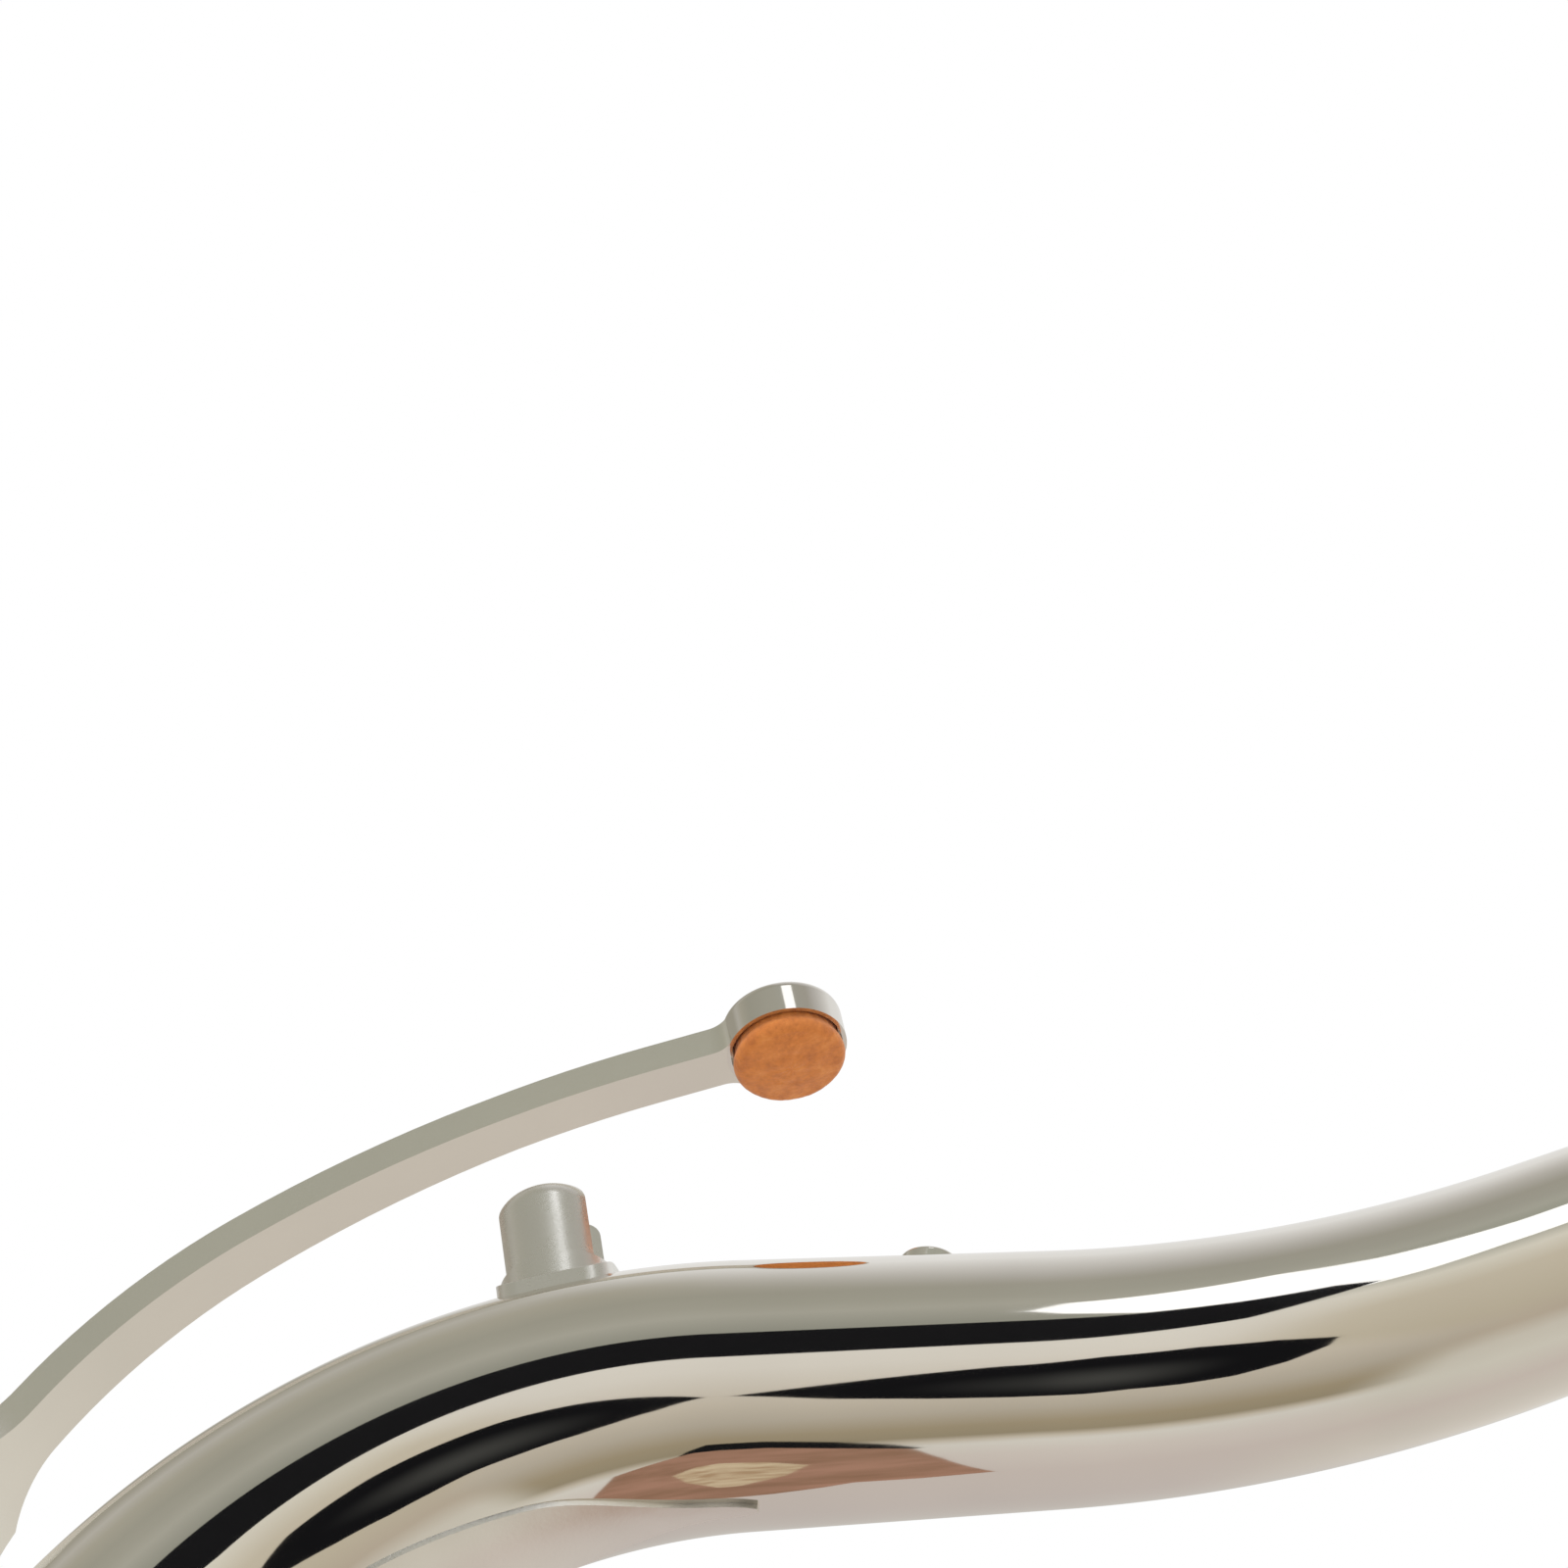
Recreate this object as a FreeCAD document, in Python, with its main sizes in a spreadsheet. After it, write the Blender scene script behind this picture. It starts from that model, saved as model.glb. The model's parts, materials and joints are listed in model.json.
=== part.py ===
import FreeCAD, Part
import math
import os
import Sketcher

# Saxophone neck of tenor size, with its octave key.
# The tenon's axis is Z and the tube bends in the XZ plane, towards +X.
# The origin is the centre of the tenon's shoulder, where the neck seats on the body.
# The key is drawn closed, with its pad over the pip, and is then turned open about its hinge.

Vector = FreeCAD.Vector
Placement = FreeCAD.Placement
Rotation = FreeCAD.Rotation
ACROSS = Vector(0, 1, 0)
HALF_TURN = 180.0
QUARTER_TURN = HALF_TURN / 2

# Driving sizes, in millimetres and degrees
SIZES = {
    # Line of the tube, from the tenon's shoulder to the mouthpiece end
    "tenon_straight": 8.0,
    "bend_radius": 54.5,
    "bend_turn": 103.7,
    "middle_straight": 24.5,
    "return_radius": 102.0,
    "return_turn": 21.7,
    "mouth_straight": 68.2,
    "tube_large_radius": 13.4,
    "tube_small_radius": 7.05,
    "tube_wall": 0.8,
    # Tenon and the ring above it
    "tenon_radius": 14.0,
    "tenon_length": 24.0,
    "tenon_lead": 0.6,
    "tenon_socket": 4.0,
    "flange_radius": 15.9,
    "flange_height": 1.8,
    "flange_groove_depth": 0.9,
    "flange_groove_height": 0.8,
    "bead_radius": 15.4,
    "bead_height": 2.2,
    "ring_edge": 0.3,
    # Mouthpiece end
    "mouth_ring_radius": 7.9,
    "mouth_ring_length": 3.0,
    "cork_radius": 8.6,
    "cork_length": 38.0,
    "cork_lead": 0.6,
    # Reinforcing leaf under the bend
    "brace_thickness": 0.45,
    "brace_start": 22.0,
    "brace_length": 86.9,
    "brace_half_width": 6.0,
    # Octave pip
    "pip_station": 120.5,
    "pip_radius": 2.45,
    "pip_height": 1.8,
    "pip_stem_radius": 1.9,
    "pip_stem_depth": 2.6,
    "pip_bore_radius": 0.9,
    "pip_edge": 0.35,
    # Plates soldered to the tube
    "saddle_thickness": 0.9,
    "saddle_corner": 2.0,
    # Guide fork
    "guide_station": 93.3,
    "guide_radius": 4.4,
    "guide_height": 11.2,
    "guide_collar_rim": 0.35,
    "guide_collar_height": 2.7,
    "guide_edge": 2.1,
    "guide_saddle_shift": 0.7,
    "guide_saddle_length": 9.4,
    "guide_saddle_half_span": 8.2,
    # Hinge
    "hinge_station": 42.4,
    "hinge_height": 7.0,
    "hinge_tube_radius": 2.5,
    "hinge_tube_length": 11.0,
    "hinge_rod_radius": 1.25,
    "hinge_running_clearance": 0.05,
    "hinge_side_clearance": 0.15,
    "post_ball_radius": 2.8,
    "post_half_thickness": 2.2,
    "post_waist_radius": 1.7,
    "post_foot_radius": 2.6,
    "rod_head_radius": 1.9,
    "rod_head_height": 0.8,
    "rod_slot_width": 0.5,
    "rod_slot_depth": 0.45,
    "hinge_saddle_length": 11.0,
    "hinge_saddle_half_span": 11.2,
    # Octave key: pad and cup
    "key_open_angle": 15.5,
    "pad_gap": 0.3,
    "pad_crown": 2.2,
    "pad_edge_drop": 0.4,
    "pad_edge_radius": 0.85,
    "pad_crown_radius": 18.25,
    "pad_radius": 4.65,
    "leather_thickness": 0.35,
    "card_thickness": 0.5,
    "cup_wall": 0.35,
    "cup_height": 3.5,
    "cup_floor": 0.7,
    "cup_round": 0.9,
    "cup_fillet_radius": 2.3,
    # Octave key: arm
    "arm_thickness": 2.75,
    "arm_width": 4.0,
    "arm_root_width": 5.4,
    "arm_straight": 11.2,
    "arm_long_radius": 104.0,
    "arm_long_turn": 20.0,
    "arm_mid_radius": 55.5,
    "arm_mid_turn": 29.8,
    "arm_root_radius": 30.0,
    "fork_reach": 25.5,
    "fork_flare_radius": 9.0,
    "fork_window_half_width": 2.6,
    "fork_window_reach": 17.0,
    "fork_taper_length": 44.5,
    "guide_side_clearance": 0.3,
    # Octave key: ring round the tube
    "ring_level": 13.5,
    "ring_pin_room": 8.0,
    "ring_inner_half_width": 16.0,
    "ring_thickness": 2.0,
    "ring_height": 4.5,
    "strap_width": 6.0,
    "strap_thickness": 2.2,
    "sleeve_thickness": 0.7,
    "sleeve_half_span": 9.0,
    "bumper_thickness": 1.2,
    "bumper_height": 3.2,
    "bumper_half_width": 4.0,
    "stop_gap": 0.3,
    # Spring that closes the key
    "spring_seat": 13.0,
    "spring_base": 6.0,
    "spring_width": 3.2,
    "spring_thickness": 0.4,
    "spring_lay": 0.15,
    "spring_rest_station": 19.5,
    "spring_rest_length": 6.0,
    "spring_rest_half_span": 3.6,
    "spring_tip_gap": 0.1,
    "screw_radius": 0.8,
    "screw_head_radius": 1.6,
    "screw_head_lift": 0.05,
    "screw_head_height": 0.8,
    "screw_slot_width": 0.4,
    "screw_slot_depth": 0.35,
    # How far a cutting shape runs past what it cuts
    "overrun": 3.0,
}

# Shares of the brace's length, with its half width there as a share of the widest
BRACE_SHARES = (
    (0.0, 0.05),
    (0.05, 0.30),
    (0.13, 0.62),
    (0.25, 0.88),
    (0.40, 0.99),
    (0.60, 0.93),
    (0.73, 0.78),
    (0.79, 0.68),
    (0.87, 0.38),
    (0.95, 0.15),
    (1.0, 0.04),
)

os.makedirs("parts", exist_ok=True)
doc = FreeCAD.newDocument("SaxophoneNeck")
sheet = doc.addObject("Spreadsheet::Sheet", "Sizes")
for row, (name, value) in enumerate(SIZES.items(), start=1):
    sheet.set("A%d" % row, name)
    sheet.set("B%d" % row, str(value))
    sheet.setAlias("B%d" % row, name)
doc.recompute()


class Size:
    """A number with the formula that gives it, so that a property can follow the sheet."""

    def __init__(self, value, text=None):
        self.value = float(value)
        self.text = text or repr(self.value)

    def __float__(self):
        return self.value

    def join(self, other, sign, value):
        other = other if isinstance(other, Size) else Size(other)
        return Size(value, "(%s %s %s)" % (self.text, sign, other.text))

    def __add__(self, other):
        return self.join(other, "+", self.value + float(other))

    def __sub__(self, other):
        return self.join(other, "-", self.value - float(other))

    def __mul__(self, other):
        return self.join(other, "*", self.value * float(other))

    def __truediv__(self, other):
        return self.join(other, "/", self.value / float(other))

    def __neg__(self):
        return Size(-self.value, "(-%s)" % self.text)

    def __radd__(self, other):
        return Size(other) + self

    def __rsub__(self, other):
        return Size(other) - self

    def __rmul__(self, other):
        return Size(other) * self


class Named:
    """The sheet's sizes, one attribute each."""

    def __getattr__(self, name):
        return Size(sheet.get(name), "Sizes.%s" % name)


d = Named()
ZERO = Size(0)


def bind(thing, prop, size):
    """Set a property and let it follow the sheet."""
    size = size if isinstance(size, Size) else Size(size)
    setattr(thing, prop, float(size))
    if "Sizes." in size.text:
        thing.setExpression(prop, size.text)


def sines(degrees):
    angle = math.radians(float(degrees))
    return math.cos(angle), math.sin(angle)


class Path:
    """A line in the XZ plane made of straights and bends that run into each other."""

    def __init__(self, x, z, heading, parts):
        self.start = (float(x), float(z), float(heading))
        self.parts = parts

    def step(self, state, part, distance):
        x, z, heading = state
        c, s = sines(heading)
        if part[0] == "straight":
            return x + c * distance, z + s * distance, heading
        side = 1 if float(part[2]) > 0 else -1
        radius = float(part[1]) * side
        turned = heading + math.degrees(distance / radius)
        c2, s2 = sines(turned)
        return x + radius * (s2 - s), z - radius * (c2 - c), turned

    def reach(self, part):
        if part[0] == "straight":
            return float(part[1])
        return float(part[1]) * math.radians(abs(float(part[2])))

    def at(self, distance):
        """Position and heading at a distance along the path."""
        state = self.start
        left = float(distance)
        for part in self.parts:
            reach = self.reach(part)
            if left <= reach or part is self.parts[-1]:
                return self.step(state, part, left)
            state = self.step(state, part, reach)
            left -= reach

    def length(self):
        return sum(self.reach(part) for part in self.parts)


def section_place(state):
    """Frame whose Z runs along the path."""
    x, z, heading = state
    return Placement(Vector(x, 0, z), Rotation(ACROSS, QUARTER_TURN - heading))


def seat_place(state, height=0.0):
    """Frame whose X runs along the path and whose Z points out of the bend."""
    x, z, heading = state
    c, s = sines(heading)
    height = float(height)
    return Placement(Vector(x - s * height, 0, z + c * height), Rotation(ACROSS, -heading))


def new_body(name):
    return doc.addObject("PartDesign::Body", name)


def new_sketch(body, name, role, offset=None):
    sketch = body.newObject("Sketcher::SketchObject", name)
    plane = [item for item in body.Origin.OriginFeatures if item.Role == role][0]
    sketch.AttachmentSupport = [(plane, "")]
    sketch.MapMode = "FlatFace"
    if offset is not None:
        sketch.AttachmentOffset = offset
    return sketch


def fix(sketch, kind, *items):
    """Add a constraint whose last item is a size, and let it follow the sheet."""
    size = items[-1] if isinstance(items[-1], Size) else Size(items[-1])
    datum = math.radians(float(size)) if kind == "Angle" else float(size)
    index = sketch.addConstraint(Sketcher.Constraint(kind, *items[:-1], datum))
    if "Sizes." in size.text:
        text = "%s * 1 deg" % size.text if kind == "Angle" else size.text
        sketch.setExpression("Constraints[%d]" % index, text)


def place_point(sketch, geometry, end, x, y):
    fix(sketch, "DistanceX", -1, 1, geometry, end, x)
    fix(sketch, "DistanceY", -1, 1, geometry, end, y)


def draw_path(sketch, path):
    """Draw a path as tangent lines and arcs."""
    state = path.start
    before = None
    for part in path.parts:
        after = path.step(state, part, path.reach(part))
        if part[0] == "straight":
            line = Part.LineSegment(Vector(state[0], state[1], 0), Vector(after[0], after[1], 0))
            index = sketch.addGeometry(line, False)
            first, last = 1, 2
        else:
            side = 1 if float(part[2]) > 0 else -1
            c, s = sines(state[2])
            radius = float(part[1])
            centre = Vector(state[0] - s * radius * side, state[1] + c * radius * side, 0)
            begin = math.atan2(state[1] - centre.y, state[0] - centre.x)
            finish = begin + math.radians(float(part[2]))
            low, high = sorted((begin, finish))
            circle = Part.Circle(centre, Vector(0, 0, 1), radius)
            index = sketch.addGeometry(Part.ArcOfCircle(circle, low, high), False)
            first, last = (1, 2) if side > 0 else (2, 1)
        if before is None:
            place_point(sketch, index, first, path.start[0], path.start[1])
            if part[0] == "straight":
                fix(sketch, "Angle", index, path.start[2])
            else:
                fix(sketch, "DistanceX", -1, 1, index, 3, centre.x)
        else:
            sketch.addConstraint(Sketcher.Constraint("Tangent", before[0], before[1], index, first))
        if part[0] == "straight":
            fix(sketch, "Distance", index, part[1])
        else:
            if before is not None:
                fix(sketch, "Radius", index, part[1])
            else:
                fix(sketch, "DistanceY", -1, 1, index, 3, centre.y)
            fix(sketch, "Angle", index, abs_size(part[2]))
        before = (index, last)
        state = after


def abs_size(size):
    return size if float(size) > 0 else -size


def draw_outline(sketch, corners):
    """Closed outline of corners (x, y), or (x, y, radius, side) where an arc leads to the corner."""
    count = len(corners)
    indexes = []
    for number in range(count):
        here, there = corners[number], corners[(number + 1) % count]
        p = Vector(float(here[0]), float(here[1]), 0)
        q = Vector(float(there[0]), float(there[1]), 0)
        if len(there) == 2:
            indexes.append((sketch.addGeometry(Part.LineSegment(p, q), False), 1, 2))
            continue
        radius, side = there[2], there[3]
        half = (q - p) / 2
        rise = math.sqrt(float(radius) ** 2 - half.Length ** 2)
        centre = p + half + Vector(-half.y, half.x, 0).normalize() * (rise * side)
        begin = math.atan2(p.y - centre.y, p.x - centre.x)
        finish = math.atan2(q.y - centre.y, q.x - centre.x)
        if side > 0:
            low, high, first, last = begin, finish, 1, 2
        else:
            low, high, first, last = finish, begin, 2, 1
        if high < low:
            high += 2 * math.pi
        circle = Part.Circle(centre, Vector(0, 0, 1), float(radius))
        index = sketch.addGeometry(Part.ArcOfCircle(circle, low, high), False)
        fix(sketch, "Radius", index, radius)
        indexes.append((index, first, last))
    for number in range(count):
        index, first, last = indexes[number]
        following = indexes[(number + 1) % count]
        sketch.addConstraint(
            Sketcher.Constraint("Coincident", index, last, following[0], following[1])
        )
        place_point(sketch, index, first, corners[number][0], corners[number][1])


def draw_circle(sketch, radius):
    index = sketch.addGeometry(Part.Circle(Vector(), Vector(0, 0, 1), float(radius)), False)
    sketch.addConstraint(Sketcher.Constraint("Coincident", index, 3, -1, 1))
    fix(sketch, "Radius", index, radius)


def draw_rectangle(sketch, low_x, high_x, low_y, high_y):
    draw_outline(sketch, [(low_x, low_y), (high_x, low_y), (high_x, high_y), (low_x, high_y)])


def draw_slot(sketch, half_length, radius):
    """Two half circles joined by straight sides, with the long way along X."""
    reach = half_length - radius
    end = float(reach)
    r = float(radius)
    up = Vector(0, 0, 1)
    right = sketch.addGeometry(
        Part.ArcOfCircle(Part.Circle(Vector(end, 0, 0), up, r), -math.pi / 2, math.pi / 2), False
    )
    top = sketch.addGeometry(Part.LineSegment(Vector(end, r, 0), Vector(-end, r, 0)), False)
    left = sketch.addGeometry(
        Part.ArcOfCircle(Part.Circle(Vector(-end, 0, 0), up, r), math.pi / 2, 3 * math.pi / 2),
        False,
    )
    bottom = sketch.addGeometry(Part.LineSegment(Vector(-end, -r, 0), Vector(end, -r, 0)), False)
    sketch.addConstraint(Sketcher.Constraint("Tangent", right, 2, top, 1))
    sketch.addConstraint(Sketcher.Constraint("Tangent", top, 2, left, 1))
    sketch.addConstraint(Sketcher.Constraint("Tangent", left, 2, bottom, 1))
    sketch.addConstraint(Sketcher.Constraint("Tangent", bottom, 2, right, 1))
    place_point(sketch, right, 3, reach, ZERO)
    place_point(sketch, left, 3, -reach, ZERO)
    fix(sketch, "Radius", right, radius)


def pipe_along(name, path, draw_first, draw_last=None):
    """Body swept along a path, from one section to another."""
    body = new_body(name)
    spine = new_sketch(body, name + "_line", "XZ_Plane")
    draw_path(spine, path)
    first = new_sketch(body, name + "_first", "XY_Plane", section_place(path.start))
    draw_first(first)
    doc.recompute()
    pipe = body.newObject("PartDesign::AdditivePipe", name + "_pipe")
    pipe.Profile = first
    pipe.Spine = (spine, ["Edge%d" % (number + 1) for number in range(len(path.parts))])
    if draw_last is not None:
        last = new_sketch(body, name + "_last", "XY_Plane", section_place(path.at(path.length())))
        draw_last(last)
        pipe.Sections = [(last, [""])]
        pipe.Transformation = "Multisection"
    body.Tip = pipe
    return body


def turned(name, corners, place=None):
    """Body turned about its own Z axis; the corners are (radius, height)."""
    body = new_body(name)
    sketch = new_sketch(body, name + "_profile", "XZ_Plane")
    draw_outline(sketch, corners)
    revolution = body.newObject("PartDesign::Revolution", name + "_turning")
    revolution.Profile = sketch
    revolution.ReferenceAxis = (sketch, ["V_Axis"])
    revolution.Angle = 2 * HALF_TURN
    body.Tip = revolution
    if place is not None:
        body.Placement = place
    return body


def padded(name, draw, low, high, place=None):
    """Body drawn in the XY plane and raised from one height to another."""
    body = new_body(name)
    sketch = new_sketch(body, name + "_plan", "XY_Plane", Placement(Vector(0, 0, float(low)), Rotation()))
    sketch.setExpression("AttachmentOffset.Base.z", low.text)
    draw(sketch)
    pad = body.newObject("PartDesign::Pad", name + "_pad")
    pad.Profile = sketch
    bind(pad, "Length", high - low)
    body.Tip = pad
    if place is not None:
        body.Placement = place
    return body


def cylinder(name, radius, low, high, place, turn=None):
    """Cylinder along Z of a frame, or along the axis that turn brings Z to."""
    item = doc.addObject("Part::Cylinder", name)
    bind(item, "Radius", radius)
    bind(item, "Height", high - low)
    turn = turn or Placement()
    item.Placement = place.multiply(turn).multiply(Placement(Vector(0, 0, float(low)), Rotation()))
    return item


def cone(name, foot, head, low, high, place):
    item = doc.addObject("Part::Cone", name)
    bind(item, "Radius1", foot)
    bind(item, "Radius2", head)
    bind(item, "Height", high - low)
    item.Placement = place.multiply(Placement(Vector(0, 0, float(low)), Rotation()))
    return item


def box(name, x, y, z, place=None):
    """Box from (low, high) pairs along the three axes of a frame."""
    item = doc.addObject("Part::Box", name)
    bind(item, "Length", x[1] - x[0])
    bind(item, "Width", y[1] - y[0])
    bind(item, "Height", z[1] - z[0])
    corner = Placement(Vector(float(x[0]), float(y[0]), float(z[0])), Rotation())
    item.Placement = (place or Placement()).multiply(corner)
    return item


def cut(name, base, *tools):
    for number, tool in enumerate(tools, start=1):
        item = doc.addObject("Part::Cut", name if number == len(tools) else "%s_%d" % (name, number))
        item.Base = base
        item.Tool = tool
        base = item
    return base


def common(name, base, tool):
    item = doc.addObject("Part::Common", name)
    item.Base = base
    item.Tool = tool
    return item


def fuse(name, *pieces):
    item = doc.addObject("Part::MultiFuse", name)
    item.Shapes = list(pieces)
    return item


nodes = {}


def node(label, item, opened=False):
    """Keep a finished piece under its own name; the key's pieces turn open with the key."""
    item.Label = label
    if opened:
        item.Placement = KEY_OPEN.multiply(item.Placement)
    nodes[label] = item


# The tube's line starts inside the tenon's socket
neck_line = Path(
    0,
    -d.tenon_socket,
    QUARTER_TURN,
    [
        ("straight", d.tenon_straight + d.tenon_socket),
        ("bend", d.bend_radius, -d.bend_turn),
        ("straight", d.middle_straight),
        ("bend", d.return_radius, d.return_turn),
        ("straight", d.mouth_straight),
    ],
)
NECK_LENGTH = neck_line.length()


def station(distance):
    """Position and heading at a distance from the shoulder."""
    return neck_line.at(float(distance) + float(d.tenon_socket))


def tube_radius(distance):
    share = (float(distance) + float(d.tenon_socket)) / NECK_LENGTH
    return d.tube_large_radius + (d.tube_small_radius - d.tube_large_radius) * share


def tube_form(name, offset):
    """The tapered bent tube as a solid form, thicker or thinner by an offset."""
    return pipe_along(
        name,
        neck_line,
        lambda sketch: draw_circle(sketch, d.tube_large_radius + offset),
        lambda sketch: draw_circle(sketch, d.tube_small_radius + offset),
    )


tube_outside = tube_form("tube_outside", ZERO)
tube_bore = tube_form("tube_bore", -d.tube_wall)
saddle_skin = tube_form("saddle_skin", d.saddle_thickness)
brace_skin = tube_form("brace_skin", d.brace_thickness)

# Frames on the tube, and the two that the key is built on
pip_state = station(d.pip_station)
pip_seat = seat_place(pip_state)
pip_top = tube_radius(d.pip_station) + d.pip_height
pad_base = pip_top + d.pad_gap + d.pad_crown
pad_frame = seat_place(pip_state, pad_base)
guide_seat = seat_place(station(d.guide_station))
hinge_state = station(d.hinge_station)
hinge_seat = seat_place(hinge_state)
hinge_rise = tube_radius(d.hinge_station) + d.hinge_height
hinge_frame = seat_place(hinge_state, hinge_rise)
HINGE = hinge_frame.Base
KEY_OPEN = Placement(Vector(), Rotation(ACROSS, -float(d.key_open_angle)), HINGE)
ALONG_Y = Placement(Vector(), Rotation(Vector(1, 0, 0), -QUARTER_TURN))
cup_radius = d.pad_radius + d.cup_wall
taper_end = d.fork_reach + d.fork_taper_length


def make_neck_tube():
    hole = cylinder(
        "pip_hole",
        d.pip_stem_radius,
        tube_radius(d.pip_station) - d.tube_wall - d.overrun,
        pip_top,
        pip_seat,
    )
    node("neck_tube", cut("neck_tube", tube_outside, tube_bore, hole))


def make_tenon():
    bore = d.tube_large_radius - d.tube_wall
    low = -d.tenon_length
    corners = [
        (bore, low),
        (d.tenon_radius - d.tenon_lead, low),
        (d.tenon_radius, low + d.tenon_lead),
        (d.tenon_radius, ZERO),
        (bore, ZERO),
    ]
    node("tenon", cut("tenon", turned("tenon_blank", corners), tube_outside))


def make_tenon_ring():
    edge = d.ring_edge
    inner = d.tube_large_radius - d.tube_wall
    groove = d.flange_radius - d.flange_groove_depth
    groove_top = d.flange_height + d.flange_groove_height
    top = groove_top + d.bead_height
    corners = [
        (inner, ZERO),
        (d.flange_radius - edge, ZERO),
        (d.flange_radius, edge),
        (d.flange_radius, d.flange_height - edge),
        (d.flange_radius - edge, d.flange_height),
        (groove, d.flange_height),
        (groove, groove_top),
        (d.bead_radius, groove_top + d.bead_height / 2, d.bead_height, 1),
        (groove, top, d.bead_height, 1),
        (inner, top),
    ]
    node("tenon_ring", cut("tenon_ring", turned("tenon_ring_blank", corners), tube_outside))


def make_mouthpiece_end():
    end = neck_line.at(NECK_LENGTH)
    frame = section_place(end)
    edge = d.ring_edge
    core = d.tube_small_radius - d.tube_wall
    back = -d.mouth_ring_length
    ring = [
        (core, back),
        (d.mouth_ring_radius - edge, back),
        (d.mouth_ring_radius, back + edge),
        (d.mouth_ring_radius, -edge),
        (d.mouth_ring_radius - edge, ZERO),
        (core, ZERO),
    ]
    node("mouthpiece_ring", cut("mouthpiece_ring", turned("mouth_ring_blank", ring, frame), tube_outside))
    far = back - d.cork_length
    cork = [
        (core, far),
        (d.cork_radius - d.cork_lead / 2, far),
        (d.cork_radius, far + d.cork_lead / 2),
        (d.cork_radius, back - d.cork_lead),
        (d.cork_radius - d.cork_lead, back),
        (core, back),
    ]
    node("neck_cork", cut("neck_cork", turned("cork_blank", cork, frame), tube_outside))


def make_brace():
    """Leaf with a point at each end, soldered to the inside of the bend."""
    body = new_body("brace_leaf")
    sections = []
    depth = d.tube_large_radius + d.overrun
    for number, (along_share, width_share) in enumerate(BRACE_SHARES):
        state = station(d.brace_start + d.brace_length * along_share)
        sketch = new_sketch(body, "brace_section_%d" % number, "XY_Plane", section_place(state))
        half = d.brace_half_width * width_share
        draw_rectangle(sketch, ZERO, depth, -half, half)
        sections.append(sketch)
    doc.recompute()
    loft = body.newObject("PartDesign::AdditiveLoft", "brace_loft")
    loft.Profile = sections[0]
    loft.Sections = [(sketch, [""]) for sketch in sections[1:]]
    body.Tip = loft
    node("underside_brace", cut("underside_brace", common("brace_plate", brace_skin, body), tube_outside))


def make_octave_pip():
    surface = tube_radius(d.pip_station)
    corners = [
        (ZERO, surface - d.overrun),
        (d.pip_radius, surface - d.overrun),
        (d.pip_radius, pip_top - d.pip_edge),
        (d.pip_radius - d.pip_edge, pip_top, d.pip_edge, 1),
        (ZERO, pip_top),
    ]
    head = cut("pip_head", turned("pip_blank", corners, pip_seat), tube_outside)
    stem_low = surface - d.pip_stem_depth
    stem = cylinder("pip_stem", d.pip_stem_radius, stem_low, pip_top - d.pip_edge, pip_seat)
    bore = cylinder("pip_bore", d.pip_bore_radius, stem_low - d.overrun, pip_top + d.overrun, pip_seat)
    node("octave_pip", cut("octave_pip", fuse("pip_solid", head, stem), bore))


def saddle(label, seat, half_length, half_span, height):
    """Plate bent over the tube, with rounded corners."""
    r = d.saddle_corner
    corners = [
        (-half_length, -half_span + r),
        (-half_length + r, -half_span, r, 1),
        (half_length - r, -half_span),
        (half_length, -half_span + r, r, 1),
        (half_length, half_span - r),
        (half_length - r, half_span, r, 1),
        (-half_length + r, half_span),
        (-half_length, half_span - r, r, 1),
    ]
    plate = padded(label + "_plan", lambda sketch: draw_outline(sketch, corners), ZERO, height, seat)
    return cut(label, common(label + "_plate", saddle_skin, plate), tube_outside)


def make_guide():
    surface = tube_radius(d.guide_station)
    top = surface + d.guide_height
    collar_top = surface + d.guide_collar_height
    half_length = d.guide_saddle_length / 2
    plate_seat = seat_place(station(d.guide_station + d.guide_saddle_shift))
    node("guide_saddle", saddle("guide_saddle", plate_seat, half_length, d.guide_saddle_half_span, top))

    post = padded("guide_post", lambda sketch: draw_circle(sketch, d.guide_radius), ZERO, top, guide_seat)
    doc.recompute()
    raised = post.Tip
    edges = [
        "Edge%d" % number
        for number, edge in enumerate(raised.Shape.Edges, start=1)
        if min(vertex.Z for vertex in edge.Vertexes) > float(top) - float(d.guide_edge)
    ]
    rounding = post.newObject("PartDesign::Fillet", "guide_post_edge")
    rounding.Base = (raised, edges)
    bind(rounding, "Radius", d.guide_edge)
    post.Tip = rounding
    collar = cylinder("guide_collar", d.guide_radius + d.guide_collar_rim, ZERO, collar_top, guide_seat)
    # The slot clears the arm where the arm's taper enters it
    entry = (guide_seat.Base - HINGE).Length - float(d.guide_radius)
    left = max(0.0, float(taper_end) - entry)
    widening = (d.arm_root_width - d.arm_width) / 2 * left / d.fork_taper_length
    slot_half_width = d.arm_width / 2 + widening + d.guide_side_clearance
    slot = box(
        "guide_slot",
        (-d.guide_radius * 2, d.guide_radius * 2),
        (-slot_half_width, slot_half_width),
        (collar_top, top + d.overrun),
        guide_seat,
    )
    node("guide_fork", cut("guide_fork", fuse("guide_blank", post, collar), slot, saddle_skin))


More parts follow.
